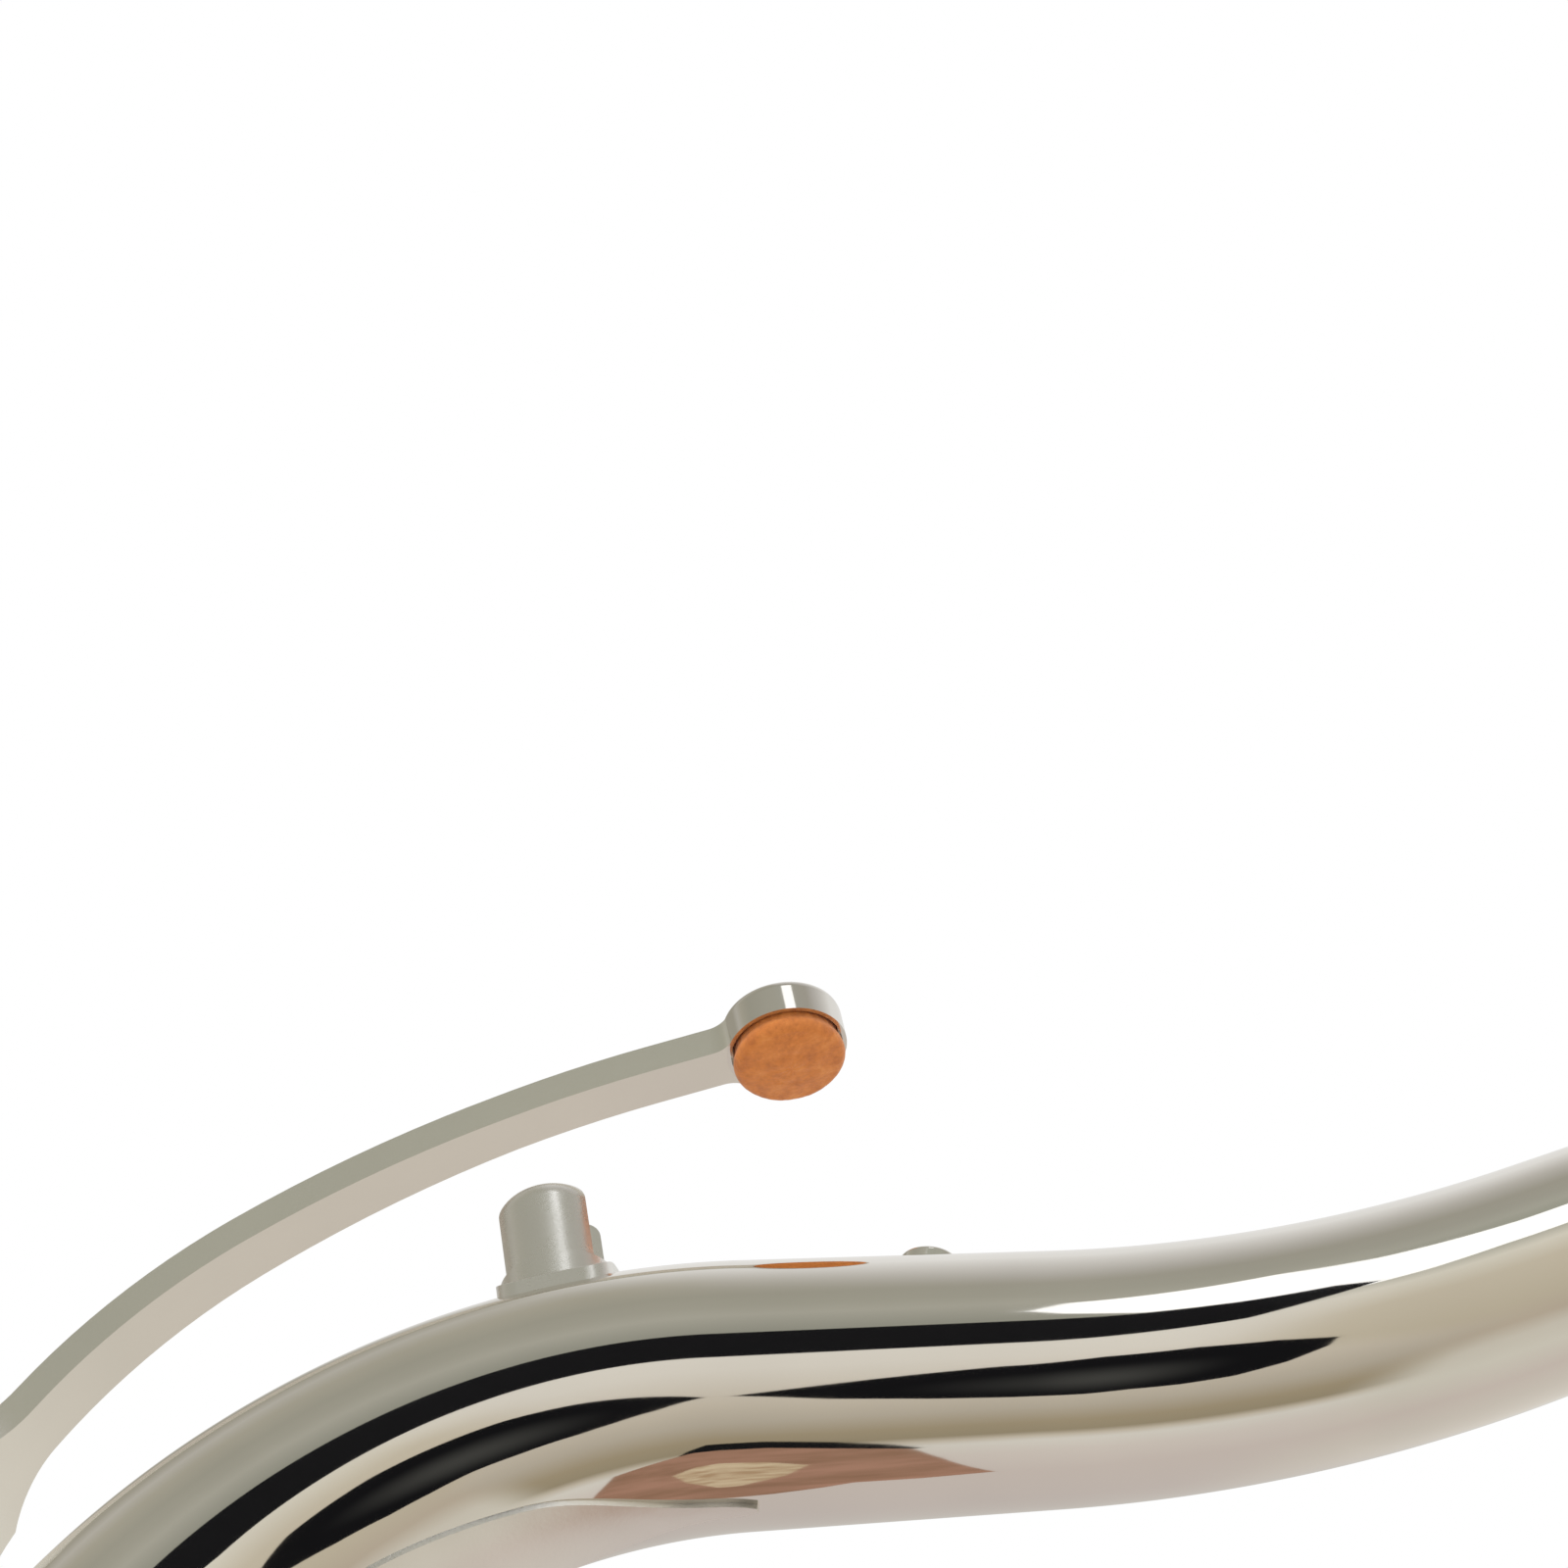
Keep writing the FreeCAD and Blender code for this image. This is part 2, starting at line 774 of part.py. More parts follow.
def make_hinge():
    half_length = d.hinge_saddle_length / 2
    plate = saddle("hinge_saddle", hinge_seat, half_length, d.hinge_saddle_half_span, hinge_rise)
    node("hinge_saddle", plate)
    post_middle = d.hinge_tube_length / 2 + d.hinge_side_clearance + d.post_half_thickness
    for label, side in (("near_hinge_post", -1), ("far_hinge_post", 1)):
        middle = post_middle * side
        frame = hinge_seat.multiply(Placement(Vector(0, float(middle), 0), Rotation()))
        foot = cone(label + "_stem", d.post_foot_radius, d.post_waist_radius, ZERO, hinge_rise, frame)
        ball = doc.addObject("Part::Sphere", label + "_ball")
        bind(ball, "Radius", d.post_ball_radius)
        ball.Placement = frame.multiply(Placement(Vector(0, 0, float(hinge_rise)), Rotation()))
        reach = d.post_ball_radius + d.overrun
        sides = box(
            label + "_sides",
            (-reach, reach),
            (-d.post_half_thickness, d.post_half_thickness),
            (ZERO, hinge_rise + reach),
            frame,
        )
        trimmed = common(label + "_trimmed", fuse(label + "_solid", foot, ball), sides)
        hole = cylinder(label + "_hole", d.hinge_rod_radius, -reach, reach, frame.multiply(
            Placement(Vector(0, 0, float(hinge_rise)), Rotation())), ALONG_Y)
        node(label, cut(label, trimmed, saddle_skin, hole))

    outer = post_middle + d.post_half_thickness
    rod = cylinder("rod_shank", d.hinge_rod_radius, -outer, outer, hinge_frame, ALONG_Y)
    head_low = -outer - d.rod_head_height
    head = cylinder("rod_head", d.rod_head_radius, head_low, -outer, hinge_frame, ALONG_Y)
    slot = box(
        "rod_slot",
        (-d.rod_head_radius - d.overrun, d.rod_head_radius + d.overrun),
        (head_low - d.overrun, head_low + d.rod_slot_depth),
        (-d.rod_slot_width / 2, d.rod_slot_width / 2),
        hinge_frame,
    )
    node("hinge_rod", cut("hinge_rod", fuse("rod_solid", rod, head), slot))

    half = d.hinge_tube_length / 2
    barrel = cylinder("hinge_barrel", d.hinge_tube_radius, -half, half, hinge_frame, ALONG_Y)
    bore_radius = d.hinge_rod_radius + d.hinge_running_clearance
    bore = cylinder(
        "hinge_bore", bore_radius, -half - d.overrun, half + d.overrun, hinge_frame, ALONG_Y
    )
    node("hinge_tube", cut("hinge_tube", barrel, bore), opened=True)


def make_pad():
    """Card, felt and a leather skin, pressed into the cup; heights are from the cup's rim."""
    top = d.cup_height - d.cup_floor
    skin = d.leather_thickness
    inner = d.pad_radius - skin
    shoulder = d.pad_edge_drop - d.pad_crown
    leather = [
        (ZERO, -d.pad_crown),
        (d.pad_radius - d.pad_edge_radius, shoulder, d.pad_crown_radius, 1),
        (d.pad_radius, shoulder + d.pad_edge_radius, d.pad_edge_radius, 1),
        (d.pad_radius, top),
        (inner, top),
        (inner, shoulder + d.pad_edge_radius),
        (d.pad_radius - d.pad_edge_radius, shoulder + skin, d.pad_edge_radius - skin, -1),
        (ZERO, skin - d.pad_crown, d.pad_crown_radius - skin, -1),
    ]
    node("pad_leather", turned("pad_leather_turned", leather, pad_frame), opened=True)
    card_low = top - d.card_thickness
    felt = [
        (ZERO, skin - d.pad_crown),
        (d.pad_radius - d.pad_edge_radius, shoulder + skin, d.pad_crown_radius - skin, 1),
        (inner, shoulder + d.pad_edge_radius, d.pad_edge_radius - skin, 1),
        (inner, card_low),
        (ZERO, card_low),
    ]
    node("pad_felt", turned("pad_felt_turned", felt, pad_frame), opened=True)
    node("pad_card", cylinder("pad_card_disc", inner, card_low, top, pad_frame), opened=True)

    cup = [
        (d.pad_radius, ZERO),
        (cup_radius, ZERO),
        (cup_radius, d.cup_height - d.cup_round),
        (cup_radius - d.cup_round, d.cup_height, d.cup_round, 1),
        (ZERO, d.cup_height),
        (ZERO, top),
        (d.pad_radius, top),
    ]
    node("pad_cup", turned("pad_cup_turned", cup, pad_frame), opened=True)


def arm_path():
    """From the cup's axis back to the hinge; the last straight points at the hinge's axis."""
    x, z, heading = station(d.pip_station)
    start = seat_place((x, z, heading), pad_base + d.arm_thickness / 2).Base
    parts = [
        ("straight", d.arm_straight),
        ("bend", d.arm_long_radius, d.arm_long_turn),
        ("bend", d.arm_mid_radius, d.arm_mid_turn),
    ]
    known = Path(start.x, start.z, heading + HALF_TURN, parts)
    x, z, heading = known.at(known.length())
    c, s = sines(heading)
    # The last bend turns to the side on which the hinge lies, as wide as the room up to it allows
    aside = (HINGE.z - z) * c - (HINGE.x - x) * s
    side = 1 if aside > 0 else -1
    room = (HINGE.x - x) ** 2 + (HINGE.z - z) ** 2 - float(d.hinge_tube_radius) ** 2
    radius = min(float(d.arm_root_radius), room / (2 * abs(aside))) * side
    away_x = HINGE.x - (x - s * radius)
    away_z = HINGE.z - (z + c * radius)
    run = math.sqrt(away_x ** 2 + away_z ** 2 - radius ** 2)
    last = math.degrees(math.atan2(away_z, away_x) + math.atan2(radius, run))
    turn = (last - heading + HALF_TURN) % (2 * HALF_TURN) - HALF_TURN
    parts += [("bend", d.arm_root_radius, Size(turn)), ("straight", Size(run))]
    return Path(start.x, start.z, known.start[2], parts)


def make_arm():
    path = arm_path()
    half_width = d.hinge_tube_length / 2
    half_thick = d.arm_thickness / 2
    bar_reach = half_width + d.overrun
    bar = pipe_along(
        "arm_bar",
        path,
        lambda sketch: draw_rectangle(sketch, -half_thick, half_thick, -bar_reach, bar_reach),
    )
    # Plan of the arm, seen square to the line from hinge to pad: two legs, a flare, a bar
    across = pad_frame.Base - HINGE
    slope = math.degrees(math.atan2(across.z, across.x))
    plan_frame = Placement(HINGE, Rotation(ACROSS, -slope))
    far = Size(across.Length)
    root = d.arm_root_width / 2
    bar_half = d.arm_width / 2
    rise = half_width - root
    flare = d.fork_flare_radius
    run = Size(math.sqrt(float(flare) ** 2 - (float(flare) - float(rise)) ** 2))
    upper = [
        (taper_end, bar_half),
        (d.fork_reach, root),
        (d.fork_reach - run, half_width, flare, -1),
        (-half_width, half_width),
    ]
    lower = [
        (-half_width, -half_width),
        (d.fork_reach - run, -half_width),
        (d.fork_reach, -root, flare, -1),
        (taper_end, -bar_half),
    ]
    corners = lower + [(far, -bar_half), (far, bar_half)] + upper
    plan = padded(
        "arm_plan", lambda sketch: draw_outline(sketch, corners), -taper_end, taper_end, plan_frame
    )
    shaped = common("arm_shaped", bar, plan)
    # A fillet on each side runs from the bar into the cup's wall
    fillet = d.cup_fillet_radius
    hug = cup_radius - d.cup_wall / 10
    away = Size(math.sqrt(float(hug + fillet) ** 2 - float(bar_half + fillet) ** 2))
    touch = float(hug) / float(hug + fillet)
    touch_x, touch_y = away * touch, (bar_half + fillet) * touch
    end = [
        (-away, -bar_half),
        (-touch_x, -touch_y, fillet, -1),
        (ZERO, -touch_y),
        (ZERO, touch_y),
        (-touch_x, touch_y),
        (-away, bar_half, fillet, -1),
    ]
    reach = d.cup_height + d.overrun
    end_plan = padded(
        "arm_end_plan", lambda sketch: draw_outline(sketch, end), -reach, reach, pad_frame
    )
    joined = fuse("arm_joined", shaped, common("arm_end", bar, end_plan))
    window_half = d.fork_window_half_width
    window = padded(
        "arm_window",
        lambda sketch: draw_slot(sketch, d.fork_window_reach, window_half),
        -taper_end,
        taper_end,
        plan_frame,
    )
    cup_form = cylinder(
        "arm_cup_form", cup_radius, -reach, reach, pad_frame
    )
    hinge_form = cylinder(
        "arm_hinge_form", d.hinge_tube_radius, -d.hinge_tube_length, d.hinge_tube_length, hinge_frame, ALONG_Y
    )
    node("key_arm", cut("key_arm", joined, window, cup_form, hinge_form), opened=True)


def ring_back():
    """X of the ring's inner face behind the tube, which lets the key open as far as it does."""
    angle = math.radians(float(d.key_open_angle))
    drop = float(d.ring_level - d.bumper_height / 2) - HINGE.z
    wall = float(tube_radius(d.tenon_straight) + d.stop_gap)
    reach = (drop * math.sin(angle) - wall - HINGE.x) / math.cos(angle)
    return HINGE.x + reach - float(d.bumper_thickness)


RING_BACK = ring_back()
RING_FRONT = float(tube_radius(d.ring_level) + d.ring_pin_room)
ring_frame = Placement(Vector((RING_BACK + RING_FRONT) / 2, 0, float(d.ring_level)), Rotation())
ring_half_length = Size((RING_FRONT - RING_BACK) / 2)


def ring_form(name, offset, half_height):
    """Long-sided loop outline round the ring's inner face, grown by an offset and raised."""
    return padded(
        name,
        lambda sketch: draw_slot(sketch, ring_half_length + offset, d.ring_inner_half_width + offset),
        -half_height,
        half_height,
        ring_frame,
    )


def strap_path():
    """Arc from the hinge down to the back of the ring, then straight down over the ring."""
    x = RING_BACK - float(d.ring_thickness + d.strap_thickness / 2)
    z = float(d.ring_level + d.ring_height / 2)
    a = HINGE.x - x
    b = HINGE.z - z
    radius = (a * a + b * b) / (2 * a)
    turn = math.degrees(math.asin(b / radius))
    heading = 3 * QUARTER_TURN - turn
    parts = [("bend", Size(radius), Size(turn)), ("straight", d.ring_height)]
    return Path(HINGE.x, HINGE.z, heading, parts)


def beside(state, distance):
    """The point at a distance to the left of a path, with the same heading."""
    x, z, heading = state
    c, s = sines(heading)
    return x - s * float(distance), z + c * float(distance), heading


def make_ring():
    half_height = d.ring_height / 2
    outer = ring_form("ring_outer", d.ring_thickness, half_height)
    inner = ring_form("ring_inner", ZERO, half_height + d.overrun)
    node("key_ring", cut("key_ring", outer, inner), opened=True)

    # Sleeve round the front of the ring, where the body's octave pin pushes
    skin = d.sleeve_thickness
    sleeve_outer = ring_form("sleeve_outer", d.ring_thickness + skin, half_height + skin)
    sleeve_inner = ring_form("sleeve_inner", -skin, half_height + d.overrun)
    span = d.sleeve_half_span
    front = box(
        "sleeve_front",
        (ZERO, ring_half_length + d.ring_thickness + d.overrun),
        (-span, span),
        (-d.ring_height, d.ring_height),
        ring_frame,
    )
    band = ring_form("sleeve_band", d.ring_thickness, half_height)
    band_hollow = ring_form("sleeve_band_hollow", ZERO, half_height)
    blank = cut("sleeve_blank", common("sleeve_part", sleeve_outer, front), sleeve_inner)
    node("ring_sleeve", cut("ring_sleeve", blank, cut("sleeve_core", band, band_hollow)), opened=True)

    # Cork on the back of the ring, which meets the tube when the key is fully open
    block = box(
        "bumper_block",
        (-ring_half_length - d.ring_thickness, d.bumper_thickness - ring_half_length),
        (-d.bumper_half_width, d.bumper_half_width),
        (-d.bumper_height / 2, d.bumper_height / 2),
        ring_frame,
    )
    hollow = ring_form("bumper_hollow", ZERO, half_height)
    node("ring_bumper", common("ring_bumper", block, hollow), opened=True)


def make_strap_and_spring():
    path = strap_path()
    half_width = d.strap_width / 2
    half_thick = d.strap_thickness / 2
    bar = pipe_along(
        "strap_bar",
        path,
        lambda sketch: draw_rectangle(sketch, -half_thick, half_thick, -half_width, half_width),
    )
    hinge_form = cylinder(
        "strap_hinge_form", d.hinge_tube_radius, -half_width, half_width, hinge_frame, ALONG_Y
    )
    seat = path.at(d.spring_seat)
    lay = half_thick + d.spring_lay
    # Screw frame: Z points from the strap towards the tube
    screw_frame = seat_place(seat)
    shank_low = -half_thick
    head_low = lay + d.spring_thickness + d.screw_head_lift
    shank = cylinder("screw_shank", d.screw_radius, shank_low, head_low, screw_frame)
    head_high = head_low + d.screw_head_height
    head = cylinder("screw_head", d.screw_head_radius, head_low, head_high, screw_frame)
    slot = box(
        "screw_slot",
        (-d.screw_head_radius - d.overrun, d.screw_head_radius + d.overrun),
        (-d.screw_slot_width / 2, d.screw_slot_width / 2),
        (head_high - d.screw_slot_depth, head_high + d.overrun),
        screw_frame,
    )
    node("spring_screw", cut("spring_screw", fuse("screw_solid", shank, head), slot), opened=True)
    hole = cylinder("screw_hole", d.screw_radius, -d.overrun, head_low + d.overrun, screw_frame)
    ring_outer = ring_form("strap_ring_form", d.ring_thickness, d.ring_height / 2)
    node("ring_strap", cut("ring_strap", bar, hinge_form, hole, ring_outer), opened=True)

    # The spring follows the strap's curve under its screw, then bends to a plate on the tube
    bow = path.parts[0][1] - lay - d.spring_thickness / 2
    base_turn = math.degrees(float(d.spring_base / path.parts[0][1]))
    begin = beside(path.at(d.spring_seat - d.spring_base / 2), lay + d.spring_thickness / 2)
    base = ("bend", bow, Size(base_turn))
    bend_start = Path(*begin, [base]).at(bow * math.radians(base_turn))
    rest_state = station(d.spring_rest_station)
    rise = tube_radius(d.spring_rest_station) + d.saddle_thickness
    tip_rise = rise + d.spring_tip_gap + d.spring_thickness / 2
    tip = KEY_OPEN.inverse().multVec(seat_place(rest_state, tip_rise).Base)
    away_x, away_z = tip.x - bend_start[0], tip.z - bend_start[1]
    swing = math.atan2(away_z, away_x) - math.radians(bend_start[2])
    swing = (swing + math.pi) % (2 * math.pi) - math.pi
    radius = math.hypot(away_x, away_z) / (2 * math.sin(swing))
    spring_path = Path(*begin, [base, ("bend", Size(radius), Size(math.degrees(2 * swing)))])
    spring_half = d.spring_thickness / 2
    spring_side = d.spring_width / 2
    blade = pipe_along(
        "spring_blade",
        spring_path,
        lambda sketch: draw_rectangle(sketch, -spring_half, spring_half, -spring_side, spring_side),
    )
    node("key_spring", cut("key_spring", blade, hole), opened=True)
    half_rest = d.spring_rest_length / 2
    rest = saddle("spring_rest", seat_place(rest_state), half_rest, d.spring_rest_half_span, rise + d.overrun)
    node("spring_rest", rest)


make_neck_tube()
make_tenon()
make_tenon_ring()
make_mouthpiece_end()
make_brace()
make_octave_pip()
make_guide()
make_hinge()
make_pad()
make_arm()
make_ring()
make_strap_and_spring()
doc.recompute()

for item in doc.Objects:
    if "Invalid" in item.State or "Error" in item.State:
        raise RuntimeError("%s did not build: %s" % (item.Label, item.State))
for label, item in nodes.items():
    shape = item.Shape
    if shape.isNull() or not shape.isValid() or not shape.Solids:
        raise RuntimeError("%s has no sound solid" % label)
    if len(shape.Solids) != 1:
        print("%s has %d solids" % (label, len(shape.Solids)))
for label, item in nodes.items():
    item.Shape.exportStep("parts/%s.step" % label)
print("neck line %.1f mm, %d pieces" % (NECK_LENGTH - float(d.tenon_socket), len(nodes)))
print("hinge at (%.3f, %.3f)" % (HINGE.x, HINGE.z))
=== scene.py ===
import json
import math
import bmesh
import bpy
from mathutils import Matrix, Vector


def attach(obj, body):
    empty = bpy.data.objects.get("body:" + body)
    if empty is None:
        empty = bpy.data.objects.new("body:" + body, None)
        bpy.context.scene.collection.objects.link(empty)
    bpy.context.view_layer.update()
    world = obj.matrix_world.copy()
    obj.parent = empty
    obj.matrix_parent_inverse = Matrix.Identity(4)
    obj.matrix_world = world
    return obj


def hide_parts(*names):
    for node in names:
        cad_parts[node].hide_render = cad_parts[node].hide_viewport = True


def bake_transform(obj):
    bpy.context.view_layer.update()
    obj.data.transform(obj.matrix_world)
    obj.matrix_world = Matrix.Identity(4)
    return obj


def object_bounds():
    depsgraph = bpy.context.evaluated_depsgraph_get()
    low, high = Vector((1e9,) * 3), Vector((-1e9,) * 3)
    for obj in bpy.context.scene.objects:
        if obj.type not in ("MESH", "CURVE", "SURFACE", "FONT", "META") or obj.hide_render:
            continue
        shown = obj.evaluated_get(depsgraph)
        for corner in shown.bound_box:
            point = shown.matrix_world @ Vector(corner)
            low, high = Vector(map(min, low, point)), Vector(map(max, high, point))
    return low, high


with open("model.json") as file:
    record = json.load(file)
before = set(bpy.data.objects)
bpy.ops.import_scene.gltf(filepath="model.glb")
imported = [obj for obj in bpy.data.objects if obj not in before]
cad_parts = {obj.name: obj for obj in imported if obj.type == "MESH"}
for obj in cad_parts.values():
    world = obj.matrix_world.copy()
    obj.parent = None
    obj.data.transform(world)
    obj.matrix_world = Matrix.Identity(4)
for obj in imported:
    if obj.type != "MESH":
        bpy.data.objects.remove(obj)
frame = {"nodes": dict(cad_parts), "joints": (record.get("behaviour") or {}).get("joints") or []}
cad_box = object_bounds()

scene = bpy.context.scene
nodes = frame["nodes"]
joint = frame["joints"][0]
MM = 0.001
GRAIN_DEPTH = 0.00005

# The neck's line and radii, in metres and degrees, as in the part's source
SOCKET = 0.004
NECK_PARTS = (
    ("straight", 0.008 + SOCKET),
    ("bend", 0.0545, -103.7),
    ("straight", 0.0245),
    ("bend", 0.102, 21.7),
    ("straight", 0.0682),
)
LARGE_RADIUS = 0.0134
SMALL_RADIUS = 0.00705
WALL = 0.0008
TUBE_STEP = 0.0005
TUBE_SIDES = 160

# The pad, in metres from the plane of the cup's rim, with its underside below that plane
PAD_RADIUS = 0.00465
PAD_CROWN = 0.0022
PAD_CROWN_DROP = 0.0004
PAD_EDGE = 0.00085
PAD_TOP = 0.0028
PAD_SLOPE = 13.7
PAD_RINGS = 44
PAD_SIDES = 192
PLEAT_DEPTH = 0.00002
PLEAT_REACH = 0.5
SIDE_PLEAT_DEPTH = 0.00005
DRAW_START = -0.00095
PIP_MARK_RADIUS = 0.0017
PIP_MARK_WIDTH = 0.00022
PIP_MARK_DEPTH = 0.00003
SWELL_DEPTH = 0.00003
# Above its widest ring the leather draws in and leaves a gap inside the cup's rim: (height, radius)
PAD_SIDE = (
    (-0.00075, 0.00462),
    (-0.00055, 0.00454),
    (-0.0003, 0.00443),
    (0.0, 0.00436),
    (0.0006, 0.00434),
    (PAD_TOP, 0.00440),
)
SKIN = 0.00035
SKIN_INSIDE = PAD_SIDE[-2][1] - 0.00006 - SKIN
SKIN_LOW = -0.0009
SKIN_MIDDLE = -0.0017
FELT_PLAY = 0.00002
FELT_LOW = -0.0017
FELT_HIGH = 0.0022
FELT_SIDES = 48
# Underside of the felt: (share of its radius, rise above its lowest point)
FELT_CURVE = ((0.55, 0.00008), (0.85, 0.0003), (1.0, 0.0007))

# The closing spring: how many slices it is cut into along its height
SPRING_SLICES = 40

# The camera stands where the photograph was taken: below the neck, in front of it
LEAN, ROLL, TILT = (math.radians(a) for a in (45.0, 18.0, 5.0))
TARGET = Vector((0.0715, 0.0, 0.067))
DISTANCE = 0.400
RAISE = 0.0423077
LENS = 117.0
SENSOR = 36.0
CLIP_START, CLIP_END = 0.01, 20.0


def camera_axes():
    ex = Vector((math.cos(TILT), 0, math.sin(TILT)))
    ez = Vector((-math.sin(TILT), 0, math.cos(TILT)))
    ey = Vector((0, 1, 0))
    back = -math.cos(LEAN) * ey - math.sin(LEAN) * ez
    rise = math.cos(LEAN) * ez - math.sin(LEAN) * ey
    right = math.cos(ROLL) * ex - math.sin(ROLL) * rise
    up = math.sin(ROLL) * ex + math.cos(ROLL) * rise
    return right, up, back


RIGHT, UP, BACK = camera_axes()


# Node helpers

def new_material(name):
    mat = bpy.data.materials.new(name)
    mat.use_nodes = True
    tree = mat.node_tree
    tree.nodes.clear()
    out = tree.nodes.new("ShaderNodeOutputMaterial")
    shader = tree.nodes.new("ShaderNodeBsdfPrincipled")
    tree.links.new(shader.outputs[0], out.inputs[0])
    return mat, tree, shader


def add(tree, kind, inputs=(), **settings):
    node = tree.nodes.new(kind)
    for key, value in settings.items():
        setattr(node, key, value)
    for key, value in dict(inputs).items():
        if isinstance(value, bpy.types.NodeSocket):
            tree.links.new(value, node.inputs[key])
        else:
            node.inputs[key].default_value = value
    return node


def coords(tree, scale=(1, 1, 1)):
    place = add(tree, "ShaderNodeTexCoord")
    mapping = add(tree, "ShaderNodeMapping", {"Vector": place.outputs["Object"], "Scale": scale})
    return mapping.outputs[0]


def noise(tree, where, scale, detail=2.0, rough=0.5):
    inputs = {"Vector": where, "Scale": scale, "Detail": detail, "Roughness": rough}
    return add(tree, "ShaderNodeTexNoise", inputs).outputs["Fac"]


def ramp(tree, value, stops):
    node = add(tree, "ShaderNodeValToRGB", {"Fac": value})
    elements = node.color_ramp.elements
    while len(elements) < len(stops):
        elements.new(0.5)
    for element, (place, colour) in zip(elements, stops):
        element.position = place
        element.color = (*colour, 1) if len(colour) == 3 else colour
    return node.outputs["Color"]


def span(tree, value, low, high):
    node = add(tree, "ShaderNodeMapRange", {"Value": value, "To Min": low, "To Max": high})
    return node.outputs[0]


def maths(tree, kind, a, b=0.0):
    return add(tree, "ShaderNodeMath", {0: a, 1: b}, operation=kind).outputs[0]


def bump(tree, height, strength, distance):
    node = add(tree, "ShaderNodeBump", {"Height": height, "Strength": strength, "Distance": distance})
    return node.outputs[0]


def plate(name, tint, low, high, grain=0.0, grain_scale=5000.0, wave=0.0):
    """Bright plate over brass: slight tint drift, handling smears and fine scratches.
    Low and high bound its roughness. Grain is the depth of a fine roughness, wave of a long one."""
    mat, tree, shader = new_material(name)
    where = coords(tree)
    drift = noise(tree, where, 45.0, 3.0)
    smear = noise(tree, where, 260.0, 6.0, 0.62)
    dark = tuple(c * 0.93 for c in tint)
    colour = ramp(tree, drift, ((0.3, dark), (0.7, tint)))
    tree.links.new(colour, shader.inputs["Base Color"])
    scratch_place = coords(tree, (1.0, 14.0, 5.0))
    scratch = noise(tree, scratch_place, 900.0, 8.0, 0.7)
    mixed = maths(tree, "MULTIPLY", smear, maths(tree, "ADD", scratch, 0.35))
    tree.links.new(span(tree, mixed, low, high), shader.inputs["Roughness"])
    shader.inputs["Metallic"].default_value = 1.0
    if grain:
        fine = noise(tree, where, grain_scale, 3.0)
        tree.links.new(bump(tree, fine, grain, GRAIN_DEPTH), shader.inputs["Normal"])
    if wave:
        long_wave = noise(tree, where, 70.0, 1.0)
        tree.links.new(bump(tree, long_wave, wave, MM), shader.inputs["Normal"])
    return mat


def cork_material():
    mat, tree, shader = new_material("natural_cork")
    where = coords(tree)
    cells = add(tree, "ShaderNodeTexVoronoi", {"Vector": where, "Scale": 1500.0}).outputs["Distance"]
    patches = noise(tree, where, 420.0, 6.0, 0.65)
    body = ramp(tree, patches, (
        (0.25, (0.30, 0.16, 0.075)),
        (0.5, (0.52, 0.31, 0.16)),
        (0.8, (0.66, 0.44, 0.25)),
    ))
    pores = noise(tree, coords(tree, (1.0, 2.6, 2.6)), 700.0, 4.0, 0.75)
    pore_mask = ramp(tree, pores, ((0.60, (0, 0, 0)), (0.68, (1, 1, 1))))
    mixed = add(tree, "ShaderNodeMix", {0: pore_mask, 6: body, 7: (0.10, 0.045, 0.02, 1)}, data_type="RGBA")
    tree.links.new(mixed.outputs[2], shader.inputs["Base Color"])
    shader.inputs["Roughness"].default_value = 0.82
    height = maths(tree, "SUBTRACT", maths(tree, "MULTIPLY", cells, 0.4), pore_mask)
    tree.links.new(bump(tree, height, 0.55, 0.0001), shader.inputs["Normal"])
    return mat


def leather_material():
    mat, tree, shader = new_material("tan_kid_leather")
    where = coords(tree)
    mottle = noise(tree, where, 900.0, 6.0, 0.7)
    body = ramp(tree, mottle, (
        (0.25, (0.46, 0.125, 0.022)),
        (0.55, (0.68, 0.215, 0.038)),
        (0.8, (0.80, 0.31, 0.075)),
    ))
    tree.links.new(body, shader.inputs["Base Color"])
    shader.inputs["Roughness"].default_value = 0.55
    shader.inputs["Specular IOR Level"].default_value = 0.35
    shader.inputs["Sheen Weight"].default_value = 0.15
    grain = add(tree, "ShaderNodeTexVoronoi", {"Vector": where, "Scale": 5200.0}).outputs["Distance"]
    fine = noise(tree, where, 2600.0, 5.0, 0.7)
    height = maths(tree, "ADD", maths(tree, "MULTIPLY", grain, 0.5), fine)
    tree.links.new(bump(tree, height, 0.5, 0.00008), shader.inputs["Normal"])
    return mat


def cloth_material(name, dark, light, scale, roughness):
    mat, tree, shader = new_material(name)
    where = coords(tree)
    fibres = noise(tree, coords(tree, (1.0, 1.0, 6.0)), scale, 8.0, 0.75)
    tree.links.new(ramp(tree, fibres, ((0.3, dark), (0.7, light))), shader.inputs["Base Color"])
    shader.inputs["Roughness"].default_value = roughness
    shader.inputs["Sheen Weight"].default_value = 0.3
    tree.links.new(bump(tree, noise(tree, where, scale * 2, 4.0), 0.6, 0.0001), shader.inputs["Normal"])
    return mat


def plastic_material():
    mat, tree, shader = new_material("soft_sleeve_plastic")
    where = coords(tree)
    tone = noise(tree, where, 500.0, 5.0, 0.6)
    colour = ramp(tree, tone, ((0.3, (0.016, 0.016, 0.017)), (0.7, (0.030, 0.030, 0.032))))
    tree.links.new(colour, shader.inputs["Base Color"])
    tree.links.new(span(tree, noise(tree, where, 900.0, 6.0, 0.7), 0.28, 0.5), shader.inputs["Roughness"])
    tree.links.new(bump(tree, noise(tree, where, 2500.0, 3.0), 0.15, 0.00005), shader.inputs["Normal"])
    return mat


